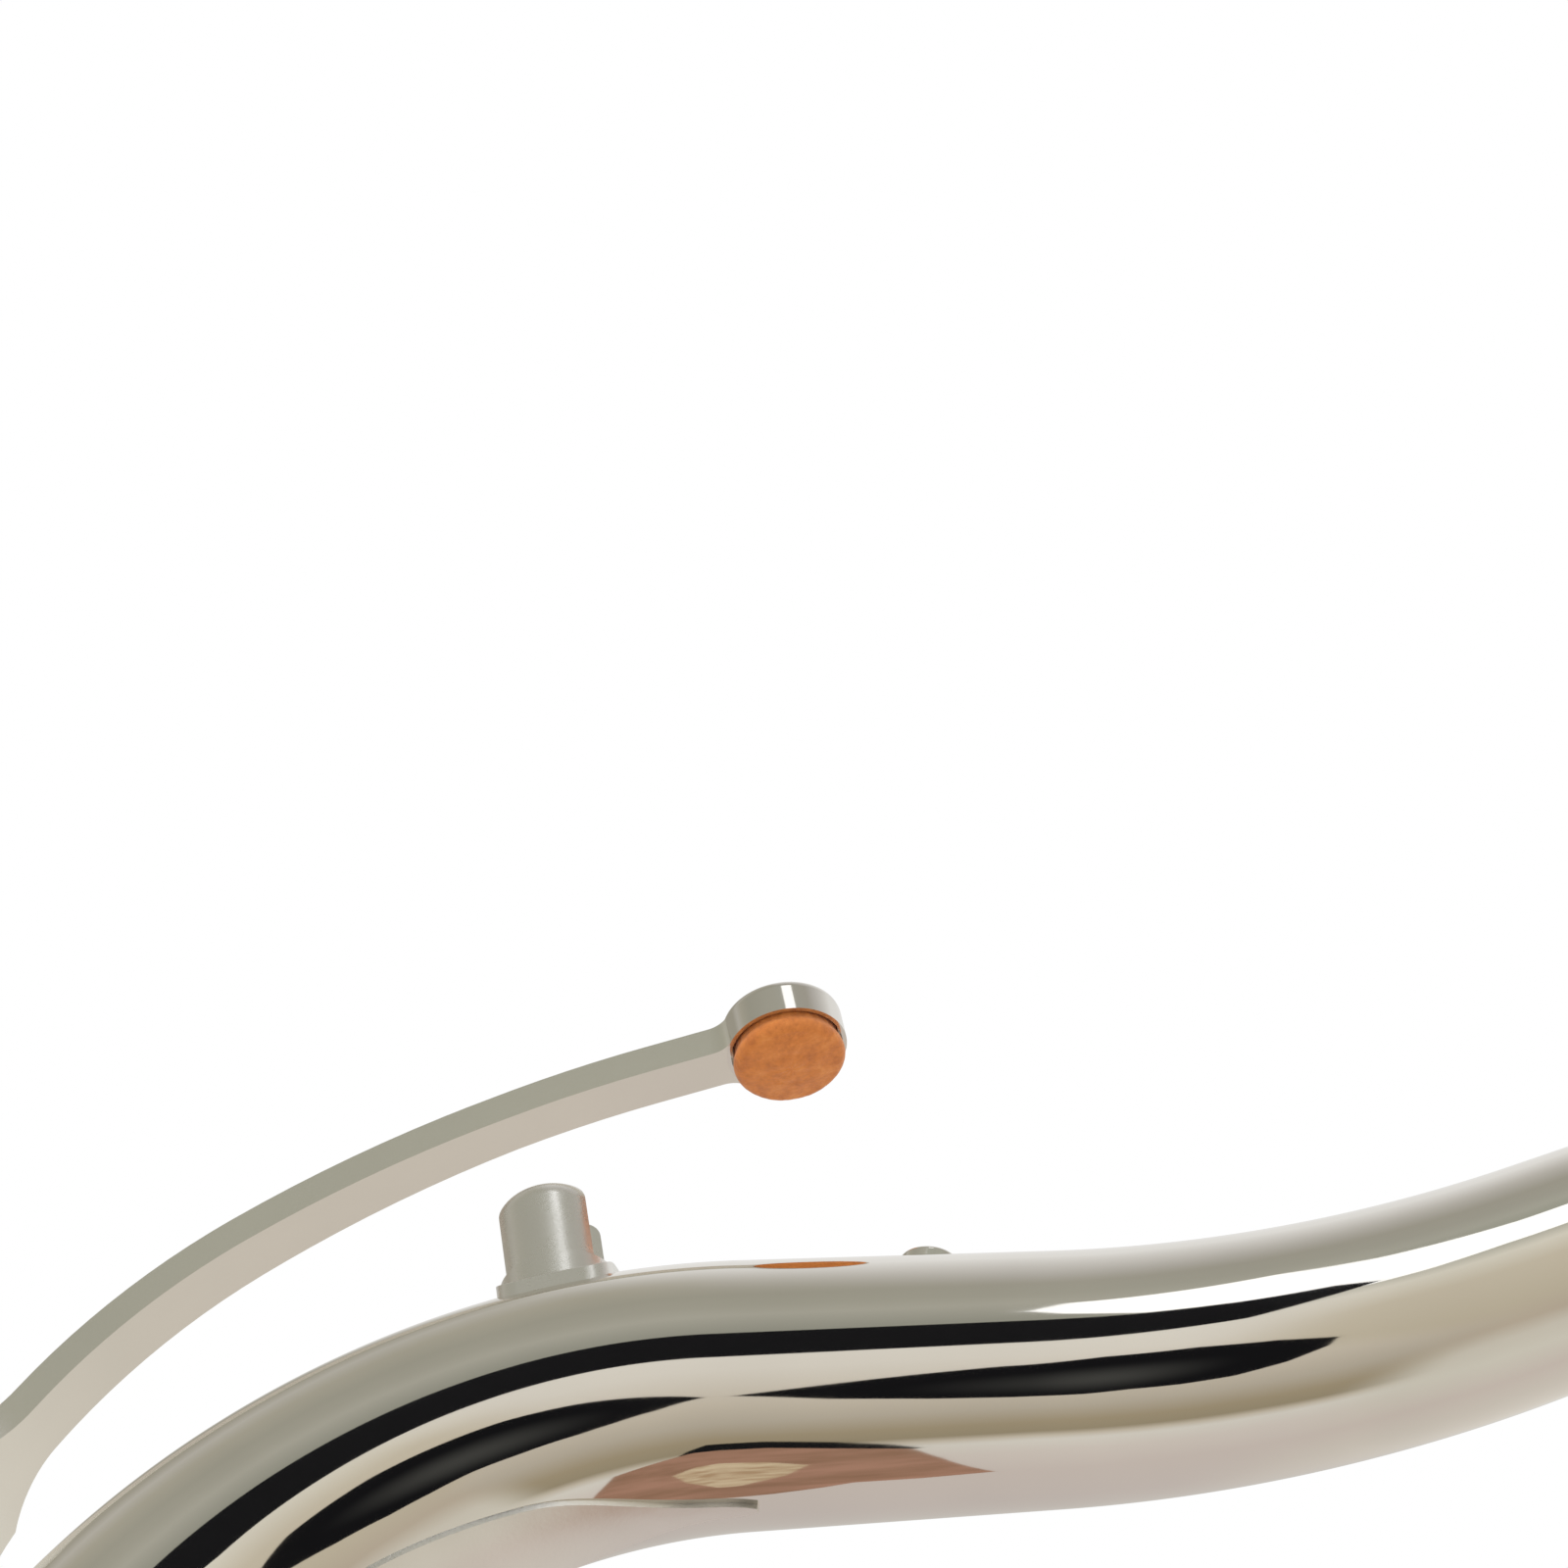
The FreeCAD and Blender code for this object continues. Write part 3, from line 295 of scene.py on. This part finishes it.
TUBE = plate("bright_plate", (0.86, 0.84, 0.80), 0.015, 0.075, wave=0.018)
KEY = plate("key_plate", (0.89, 0.88, 0.82), 0.16, 0.32, grain=0.35, grain_scale=6500.0)
CAST = plate("cast_plate", (0.86, 0.85, 0.82), 0.20, 0.40, grain=0.25, grain_scale=2200.0)
LEAF = plate("leaf_plate", (0.94, 0.92, 0.88), 0.26, 0.42, grain=0.2, grain_scale=3000.0)
FITTING = plate("fitting_plate", (0.84, 0.82, 0.78), 0.05, 0.16)
STEEL = plate("turned_steel", (0.60, 0.60, 0.59), 0.16, 0.32, grain=0.2, grain_scale=9000.0)
BLUED = plate("blued_spring_steel", (0.12, 0.16, 0.30), 0.18, 0.36)
CORK = cork_material()
LEATHER = leather_material()
FELT = cloth_material("white_felt", (0.52, 0.48, 0.40), (0.78, 0.75, 0.68), 2400.0, 0.95)
CARD = cloth_material("grey_card", (0.28, 0.22, 0.15), (0.42, 0.35, 0.26), 1400.0, 0.9)
SLEEVE = plastic_material()


def give(obj, mat):
    obj.data.materials.clear()
    obj.data.materials.append(mat)


def smooth(obj, angle=30.0):
    obj.data.shade_smooth()
    obj.data.set_sharp_from_angle(angle=math.radians(angle))


def dress(name, mat, bevel, angle, segments=3):
    """A carried-over node: its material, and its edges broken as plating leaves them."""
    obj = nodes[name]
    if obj.data.materials:
        for index in range(len(obj.data.materials)):
            obj.data.materials[index] = mat
    else:
        obj.data.materials.append(mat)
    if bevel:
        edge = obj.modifiers.new("broken_edge", "BEVEL")
        edge.width = bevel
        edge.segments = segments
        edge.limit_method = "ANGLE"
        edge.angle_limit = math.radians(angle)
        edge.harden_normals = True
    return obj


# Forms made here

def mesh_object(name, verts, faces, mat, body):
    mesh = bpy.data.meshes.new(name)
    mesh.from_pydata([tuple(v) for v in verts], [], faces)
    mesh.update()
    obj = bpy.data.objects.new(name, mesh)
    scene.collection.objects.link(obj)
    obj.data.materials.append(mat)
    if body:
        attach(obj, body)
    return obj


def line_states(step):
    """Points along the neck's line: (x, z, heading, distance)."""
    x, z, heading, gone = 0.0, -SOCKET, math.pi / 2, 0.0
    states = []
    for part in NECK_PARTS:
        if part[0] == "straight":
            reach = part[1]
            count = max(1, round(reach / step))
            for k in range(count):
                run = reach * k / count
                here_x, here_z = x + math.cos(heading) * run, z + math.sin(heading) * run
                states.append((here_x, here_z, heading, gone + run))
            x += math.cos(heading) * reach
            z += math.sin(heading) * reach
        else:
            turn = math.radians(part[2])
            radius = math.copysign(part[1], turn)
            reach = radius * turn
            cx = x - math.sin(heading) * radius
            cz = z + math.cos(heading) * radius
            count = max(1, round(reach / step))
            for k in range(count):
                now = heading + turn * k / count
                here_x, here_z = cx + math.sin(now) * radius, cz - math.cos(now) * radius
                states.append((here_x, here_z, now, gone + reach * k / count))
            heading += turn
            x = cx + math.sin(heading) * radius
            z = cz - math.cos(heading) * radius
        gone += reach
    states.append((x, z, heading, gone))
    return states


def make_tube():
    """The drawn tube as one smooth skin, outside and bore, in place of the node's facets."""
    states = line_states(TUBE_STEP)
    total = states[-1][3]
    around = TUBE_SIDES
    verts = []
    for wall in (0.0, WALL):
        for x, z, heading, gone in states:
            radius = LARGE_RADIUS + (SMALL_RADIUS - LARGE_RADIUS) * gone / total - wall
            for k in range(around):
                a = 2 * math.pi * k / around
                rise, across = radius * math.cos(a), radius * math.sin(a)
                verts.append((x - math.sin(heading) * rise, across, z + math.cos(heading) * rise))
    rings = len(states)
    faces = []
    for layer in (0, 1):
        base = layer * rings * around
        for i in range(rings - 1):
            for k in range(around):
                a = base + i * around + k
                b = base + i * around + (k + 1) % around
                quad = (a, b, b + around, a + around)
                faces.append(quad if layer else quad[::-1])
    inner = rings * around
    for i in (0, rings - 1):
        for k in range(around):
            a = i * around + k
            b = i * around + (k + 1) % around
            quad = (a, b, b + inner, a + inner)
            faces.append(quad if i == 0 else quad[::-1])
    obj = mesh_object("neck_tube_skin", verts, faces, TUBE, "neck")
    smooth(obj, 50)
    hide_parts("neck_tube")


def pad_axis():
    """Axis of the pad, open as at rest: closed it stands square to the tube under it."""
    tilt = math.radians(PAD_SLOPE - joint["range_deg"][1])
    return Vector((math.sin(tilt), 0, math.cos(tilt)))


def pad_place():
    """Frame of the pad: origin on the cup's rim plane, Z up into the cup."""
    cup = nodes["pad_cup"]
    axis = pad_axis()
    along = [v.co.dot(axis) for v in cup.data.vertices]
    low = min(along)
    ring = [v.co for v in cup.data.vertices if v.co.dot(axis) - low < 0.00005]
    centre = sum(ring, Vector()) / len(ring)
    x_axis = Vector((axis.z, 0, -axis.x))
    y_axis = axis.cross(x_axis)
    rot = Matrix((x_axis, y_axis, axis)).transposed()
    centre.y = 0.0
    return Matrix.Translation(centre) @ rot.to_4x4()


def pleat_wave(a):
    """Uneven pleats round the pad, from about -0.8 to 0.8."""
    return math.sin(a * 31 + 1.3 * math.sin(a * 3)) * 0.5 + math.sin(a * 47 + 0.7) * 0.3


def pad_height(r, a):
    """Underside of the leather at a radius and angle, below the rim plane."""
    share = r / (PAD_RADIUS - PAD_EDGE)
    if share <= 1:
        z = -PAD_CROWN + PAD_CROWN_DROP * share ** 2
    else:
        over = min(1.0, (r - (PAD_RADIUS - PAD_EDGE)) / PAD_EDGE)
        z = -PAD_CROWN + PAD_CROWN_DROP + PAD_EDGE * (1 - math.sqrt(max(0.0, 1 - over ** 2)))
    # Pleats where the leather is drawn in at the rim
    fade = max(0.0, (r / PAD_RADIUS - PLEAT_REACH) / (1 - PLEAT_REACH)) ** 1.6
    z += PLEAT_DEPTH * fade * pleat_wave(a)
    # A faint ring that the pip has pressed, and slow swells
    z += PIP_MARK_DEPTH * math.exp(-((r - PIP_MARK_RADIUS) / PIP_MARK_WIDTH) ** 2)
    z += SWELL_DEPTH * math.sin(r * 2300 + 2 * math.sin(a * 2)) * math.sin(a * 5 + 1)
    return z


def ring_points(radius_at, height_at, count):
    """A closed ring of points whose radius and height depend on the angle."""
    points = []
    for k in range(count):
        a = 2 * math.pi * k / count
        r = radius_at(a)
        points.append(Vector((r * math.cos(a), r * math.sin(a), height_at(r, a))))
    return points


def flat_ring(radius, z, count):
    return ring_points(lambda a: radius, lambda r, a: z, count)


def ring_faces(first, rings, count):
    """Quads between rings of points that follow one another from a first index."""
    faces = []
    for i in range(rings - 1):
        for k in range(count):
            a = first + i * count + k
            b = first + i * count + (k + 1) % count
            faces.append((a, b, b + count, a + count))
    return faces


def make_pad():
    place = pad_place()
    around = PAD_SIDES
    verts = [Vector((0, 0, pad_height(0, 0)))]
    for i in range(1, PAD_RINGS + 1):
        share = i / PAD_RINGS
        r = PAD_RADIUS * (math.sin(share * math.pi / 2) if share > 0.5 else share * math.sqrt(2))
        verts += ring_points(lambda a: min(PAD_RADIUS, r), pad_height, around)
    for z, wide in PAD_SIDE:
        depth = SIDE_PLEAT_DEPTH * min(1.0, (z - DRAW_START) / -DRAW_START)
        verts += ring_points(lambda a: wide + depth * pleat_wave(a), lambda r, a: z, around)
    for z in (PAD_TOP, SKIN_LOW):
        verts += flat_ring(SKIN_INSIDE, z, around)
    centre = len(verts)
    verts.append(Vector((0, 0, SKIN_MIDDLE)))
    rings = PAD_RINGS + len(PAD_SIDE) + 2
    last = 1 + (rings - 1) * around
    faces = [(0, 1 + (k + 1) % around, 1 + k) for k in range(around)]
    faces += ring_faces(1, rings, around)
    faces += [(last + k, last + (k + 1) % around, centre) for k in range(around)]
    skin = mesh_object("pad_leather_skin", [place @ v for v in verts], faces, LEATHER, "octave_key")
    smooth(skin, 60)
    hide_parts("pad_leather")


def make_felt():
    """The felt disc inside the leather."""
    place = pad_place()
    wide = SKIN_INSIDE - FELT_PLAY
    profile = [(wide * share, FELT_LOW + rise) for share, rise in FELT_CURVE] + [(wide, FELT_HIGH)]
    verts = [Vector((0, 0, FELT_LOW)), Vector((0, 0, FELT_HIGH))]
    for r, z in profile:
        verts += flat_ring(r, z, FELT_SIDES)
    end = 2 + (len(profile) - 1) * FELT_SIDES
    faces = [(0, 2 + (k + 1) % FELT_SIDES, 2 + k) for k in range(FELT_SIDES)]
    faces += [(1, end + k, end + (k + 1) % FELT_SIDES) for k in range(FELT_SIDES)]
    faces += ring_faces(2, len(profile), FELT_SIDES)
    felt = mesh_object("pad_felt_disc", [place @ v for v in verts], faces, FELT, "octave_key")
    smooth(felt, 40)
    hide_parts("pad_felt")


def make_spring():
    """The flat spring: clamped under its screw, its tip on the plate on the tube."""
    source = nodes["key_spring"]
    bm = bmesh.new()
    bm.from_mesh(source.data)
    low = min(v.co.z for v in bm.verts)
    high = max(v.co.z for v in bm.verts)
    for k in range(1, SPRING_SLICES):
        level = low + (high - low) * k / SPRING_SLICES
        geometry = bm.verts[:] + bm.edges[:] + bm.faces[:]
        bmesh.ops.bisect_plane(bm, geom=geometry, plane_co=(0, 0, level), plane_no=(0, 0, 1))
    mesh = bpy.data.meshes.new("closing_spring")
    bm.to_mesh(mesh)
    bm.free()
    spring = bpy.data.objects.new("closing_spring", mesh)
    scene.collection.objects.link(spring)
    give(spring, BLUED)
    smooth(spring, 35)
    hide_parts("key_spring")
    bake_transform(spring)


make_tube()
make_pad()
make_felt()
make_spring()

# Carried-over nodes: (name, material, bevel width, angle that counts as an edge, bevel segments)
DRESSING = (
    ("tenon", FITTING, 0.00008, 30),
    ("tenon_ring", FITTING, 0.00008, 30),
    ("mouthpiece_ring", FITTING, 0.00008, 30),
    ("underside_brace", LEAF, 0.00008, 40),
    ("octave_pip", FITTING, 0.0001, 30),
    ("guide_fork", CAST, 0.0003, 35),
    ("guide_saddle", CAST, 0.00025, 40),
    ("hinge_saddle", FITTING, 0.00025, 40),
    ("near_hinge_post", FITTING, 0.00015, 35),
    ("far_hinge_post", FITTING, 0.00015, 35),
    ("spring_rest", FITTING, 0.0002, 40),
    ("hinge_rod", STEEL, 0.00008, 30),
    ("spring_screw", STEEL, 0.00006, 30),
    ("key_arm", KEY, 0.0003, 35),
    ("hinge_tube", KEY, 0.00012, 35),
    ("pad_cup", FITTING, 0.00015, 35, 4),
    ("ring_strap", KEY, 0.0003, 35),
    ("key_ring", KEY, 0.00045, 35),
    ("ring_sleeve", SLEEVE, 0.0003, 35),
    ("ring_bumper", CORK, 0.0002, 35),
    ("neck_cork", CORK, 0.0001, 35),
    ("pad_card", CARD, 0.0, 30),
)
for row in DRESSING:
    dress(*row)


# Studio

def emitter(name, colour, strength=1.0):
    """A material that only glows."""
    mat = bpy.data.materials.new(name)
    mat.use_nodes = True
    tree = mat.node_tree
    tree.nodes.clear()
    out = tree.nodes.new("ShaderNodeOutputMaterial")
    light = add(tree, "ShaderNodeEmission", {"Color": (*colour, 1), "Strength": strength})
    tree.links.new(light.outputs[0], out.inputs[0])
    return mat


def card(name, direction_pitch, distance, mat, outline):
    """A studio card seen only in reflections, square to a direction from the neck.
    The outline is (across, up) in millimetres about the point on that direction."""
    pitch = math.radians(direction_pitch)
    facing = math.cos(pitch) * BACK + math.sin(pitch) * UP
    upward = -math.sin(pitch) * BACK + math.cos(pitch) * UP
    centre = TARGET + facing * distance
    verts = [centre + RIGHT * (x * MM) + upward * (y * MM) for x, y in outline]
    obj = mesh_object(name, verts, [tuple(range(len(verts)))], mat, None)
    obj.visible_camera = False
    obj.visible_diffuse = False
    obj.visible_transmission = False
    obj.visible_shadow = False
    return obj


def colour_glow(mat, tone):
    glow = [n for n in mat.node_tree.nodes if n.type == "EMISSION"][0]
    mat.node_tree.links.new(tone, glow.inputs["Color"])


def dim_emitter(name, middle, reach, dark, lit):
    """Black that turns dark grey towards a point, in metres, with a soft edge."""
    mat = emitter(name, dark)
    tree = mat.node_tree
    place = add(tree, "ShaderNodeTexCoord").outputs["Object"]
    gone = add(tree, "ShaderNodeVectorMath", {0: place, 1: tuple(middle)}, operation="DISTANCE")
    share = add(tree, "ShaderNodeMapRange", {
        "Value": gone.outputs["Value"], "From Max": reach,
    }, interpolation_type="SMOOTHSTEP")
    colour_glow(mat, ramp(tree, share.outputs[0], ((0.0, lit), (1.0, dark))))
    return mat


def patchy_emitter(name, dark, light, scale):
    """Two tones in soft patches."""
    mat = emitter(name, light)
    tree = mat.node_tree
    patches = noise(tree, coords(tree), scale, 4.0, 0.6)
    colour_glow(mat, ramp(tree, patches, ((0.35, dark), (0.62, light))))
    return mat


LENS_PLACE = TARGET + BACK * 0.160 - RIGHT * 0.020 + UP * 0.008
LENS_REACH = 0.034
BLACK = emitter("studio_black", (0.010, 0.010, 0.011))
DIM = dim_emitter("studio_lens", LENS_PLACE, LENS_REACH, (0.008, 0.008, 0.009), (0.055, 0.055, 0.052))
WHITE = emitter("studio_white", (1.0, 1.0, 1.0), 1.35)
SALMON = patchy_emitter("studio_salmon", (0.30, 0.17, 0.11), (0.42, 0.235, 0.165), 60.0)
STRAW = patchy_emitter("studio_straw", (0.44, 0.30, 0.18), (0.66, 0.53, 0.36), 240.0)

# What the bright plate mirrors, seen only in reflections:
# (name, pitch in degrees, distance in metres, material, outline in millimetres)
CARDS = (
    ("dark_shape", 0.0, 0.160, DIM, (
        (-71, 11), (-67, 18), (-61, 29), (-54, 41), (-45, 52), (-26, 61), (-5, 58), (15, 44), (32, 25),
        (33, 10), (27, -8), (16, -21), (4, -24), (-9, -23), (-20, -25.5), (-36, -24), (-46, -18),
        (-58, -7), (-66, 5),
    )),
    ("dark_strip", 51.0, 0.300, BLACK, (
        (-460, -62), (-30, -56), (0, -6), (-14, 22), (-70, 52), (-140, 62), (-460, 64),
    )),
    ("light_strip", 64.0, 0.380, WHITE, (
        (-93, 45), (-90, 17), (-76, -24), (-57, -36), (-40, -70), (-25, -101), (0, -97), (20, -80),
        (420, -60), (420, 30), (3, 42), (-26, 68), (-38, 92), (-46, 112), (-57, 104), (-80, 92),
    )),
    ("table_edge", -55.0, 0.200, BLACK, (
        (-38, 24), (-46, 40), (-57, 57), (-70, 71), (-88, 68), (-86, 58), (-73, 53), (-60, 42),
        (-49, 29), (-40, 17),
    )),
    ("salmon_cloth", -55.0, 0.110, SALMON, (
        (-48, 24), (-40, 28.5), (-33, 29), (-22, 21), (-15, 16), (-8, -2), (3, -34), (-3.5, -40),
        (-10, -41), (-12, -49), (-16, -59), (-24, -68), (-48, -75),
    )),
    ("straw_patch", -55.0, 0.109, STRAW, (
        (-44, 12), (-36, 9), (-27, 6), (-21, -2), (-20, -18), (-22, -34), (-30, -42), (-44, -40),
    )),
    ("window", 90.0, 1.200, WHITE, ((-30, -100), (250, -100), (250, 130), (-30, 130))),
)
for row in CARDS:
    card(*row)

# Tones of the room round the object, by pitch in degrees above the direction of the camera
LEFT_TONES = (
    (-180, (0.60, 0.58, 0.54)),
    (-120, (0.60, 0.54, 0.51)),
    (-80, (0.62, 0.55, 0.51)),
    (-60, (0.67, 0.61, 0.56)),
    (-49, (0.71, 0.68, 0.62)),
    (-45, (0.58, 0.52, 0.43)),
    (-41, (0.33, 0.28, 0.19)),
    (-32, (0.37, 0.31, 0.21)),
    (-18, (0.49, 0.44, 0.36)),
    (0, (0.61, 0.55, 0.46)),
    (30, (0.75, 0.71, 0.64)),
    (45, (0.77, 0.735, 0.665)),
    (58, (0.40, 0.40, 0.34)),
    (66, (0.32, 0.32, 0.27)),
    (82, (0.43, 0.42, 0.36)),
    (92, (0.39, 0.38, 0.32)),
    (105, (0.37, 0.36, 0.30)),
    (125, (0.42, 0.40, 0.33)),
    (142, (0.50, 0.48, 0.43)),
    (156, (0.38, 0.36, 0.30)),
)
RIGHT_TONES = (
    (-180, (0.85, 0.86, 0.84)),
    (-150, (0.74, 0.70, 0.64)),
    (-108, (0.66, 0.61, 0.55)),
    (-80, (0.63, 0.56, 0.51)),
    (-50, (0.68, 0.65, 0.57)),
    (-32, (0.64, 0.60, 0.52)),
    (-18, (0.52, 0.45, 0.36)),
    (0, (0.56, 0.50, 0.39)),
    (30, (0.62, 0.56, 0.45)),
    (45, (0.75, 0.715, 0.62)),
    (58, (0.40, 0.40, 0.34)),
    (66, (0.33, 0.34, 0.28)),
    (82, (0.43, 0.43, 0.37)),
    (92, (0.40, 0.39, 0.34)),
    (105, (0.40, 0.38, 0.33)),
    (115, (0.50, 0.48, 0.45)),
    (130, (0.63, 0.61, 0.58)),
    (152, (0.84, 0.83, 0.81)),
)
# Sideways place where the left tones give way to the right ones, below the lens and above it
DIVIDE_BELOW, DIVIDE_ABOVE = 0.19, -0.17
DIVIDE_PITCH = 0.2
DIVIDE_SOFT = 0.09


def pitch_stops(tones):
    return [((degrees + 180) / 360, colour) for degrees, colour in tones]


def make_world():
    world = bpy.data.worlds.new("studio")
    scene.world = world
    world.use_nodes = True
    tree = world.node_tree
    tree.nodes.clear()
    out = tree.nodes.new("ShaderNodeOutputWorld")
    place = add(tree, "ShaderNodeTexCoord").outputs["Generated"]

    def toward(axis):
        product = add(tree, "ShaderNodeVectorMath", {0: place, 1: tuple(axis)}, operation="DOT_PRODUCT")
        return product.outputs["Value"]

    pitch = maths(tree, "ARCTAN2", toward(UP), toward(BACK))
    around = {"Value": pitch, "From Min": -math.pi, "From Max": math.pi}
    share = add(tree, "ShaderNodeMapRange", around).outputs[0]

    left_tone = ramp(tree, share, pitch_stops(LEFT_TONES))
    right_tone = ramp(tree, share, pitch_stops(RIGHT_TONES))
    divide = add(tree, "ShaderNodeMapRange", {
        "Value": pitch, "From Min": -DIVIDE_PITCH, "From Max": DIVIDE_PITCH,
        "To Min": DIVIDE_BELOW, "To Max": DIVIDE_ABOVE,
    }).outputs[0]
    beyond = maths(tree, "SUBTRACT", toward(RIGHT), divide)
    rightness = add(tree, "ShaderNodeMapRange", {
        "Value": beyond, "From Min": -DIVIDE_SOFT, "From Max": DIVIDE_SOFT,
    }, interpolation_type="SMOOTHSTEP").outputs[0]
    mix = add(tree, "ShaderNodeMix", {0: rightness, 6: left_tone, 7: right_tone}, data_type="RGBA")
    tone = mix.outputs[2]
    path = add(tree, "ShaderNodeLightPath")
    plain = add(tree, "ShaderNodeBackground", {"Color": (0.80, 0.80, 0.80, 1), "Strength": 1.0})
    seen = add(tree, "ShaderNodeBackground", {"Color": (1, 1, 1, 1), "Strength": 1.0})
    mirrored = add(tree, "ShaderNodeBackground", {"Color": tone, "Strength": 1.0})
    glossy = path.outputs["Is Glossy Ray"]
    first = add(tree, "ShaderNodeMixShader", {0: glossy, 1: plain.outputs[0], 2: mirrored.outputs[0]})
    clear = maths(tree, "MAXIMUM", path.outputs["Is Camera Ray"], path.outputs["Is Transmission Ray"])
    last = add(tree, "ShaderNodeMixShader", {0: clear, 1: first.outputs[0], 2: seen.outputs[0]})
    tree.links.new(last.outputs[0], out.inputs[0])


FLOOR_GAP = 0.0001
FLOOR_HALF = 1.6


def make_floor():
    """Pale floor under the tenon; from below, where the photograph is taken, it isn't seen."""
    low = cad_box[0][2] - FLOOR_GAP
    half = FLOOR_HALF
    verts = [(-half, -half, low), (half, -half, low), (half, half, low), (-half, half, low)]
    mat, tree, shader = new_material("pale_floor")
    shader.inputs["Base Color"].default_value = (0.93, 0.93, 0.93, 1)
    shader.inputs["Roughness"].default_value = 0.9
    shader.inputs["Specular IOR Level"].default_value = 0.1
    out = [n for n in tree.nodes if n.type == "OUTPUT_MATERIAL"][0]
    side = add(tree, "ShaderNodeNewGeometry").outputs["Backfacing"]
    clear = add(tree, "ShaderNodeBsdfTransparent")
    mix = add(tree, "ShaderNodeMixShader", {0: side, 1: shader.outputs[0], 2: clear.outputs[0]})
    tree.links.new(mix.outputs[0], out.inputs[0])
    floor = mesh_object("floor", verts, [(0, 1, 2, 3)], mat, None)
    floor.visible_glossy = False


def lamp(name, direction, distance, size, power):
    data = bpy.data.lights.new(name, "AREA")
    data.shape = "DISK"
    data.size = size
    data.energy = power
    obj = bpy.data.objects.new(name, data)
    scene.collection.objects.link(obj)
    direction = Vector(direction).normalized()
    obj.location = TARGET + direction * distance
    obj.rotation_euler = direction.to_track_quat("Z", "Y").to_euler()
    obj.visible_glossy = False
    return obj


make_world()
make_floor()
lamp("key_light", (-0.4, -0.7, 0.9), 1.2, 0.9, 5.0)
lamp("fill_light", (0.9, 0.5, 0.7), 1.3, 1.0, 3.0)

camera_data = bpy.data.cameras.new("photo_camera")
camera_data.lens = LENS
camera_data.sensor_width = SENSOR
camera_data.sensor_fit = "HORIZONTAL"
camera_data.clip_start = CLIP_START
camera_data.clip_end = CLIP_END
camera = bpy.data.objects.new("photo_camera", camera_data)
scene.collection.objects.link(camera)
rotation = Matrix((RIGHT, UP, BACK)).transposed().to_4x4()
camera.matrix_world = Matrix.Translation(TARGET + BACK * DISTANCE + UP * RAISE) @ rotation
scene.camera = camera

scene.view_settings.view_transform = "Standard"
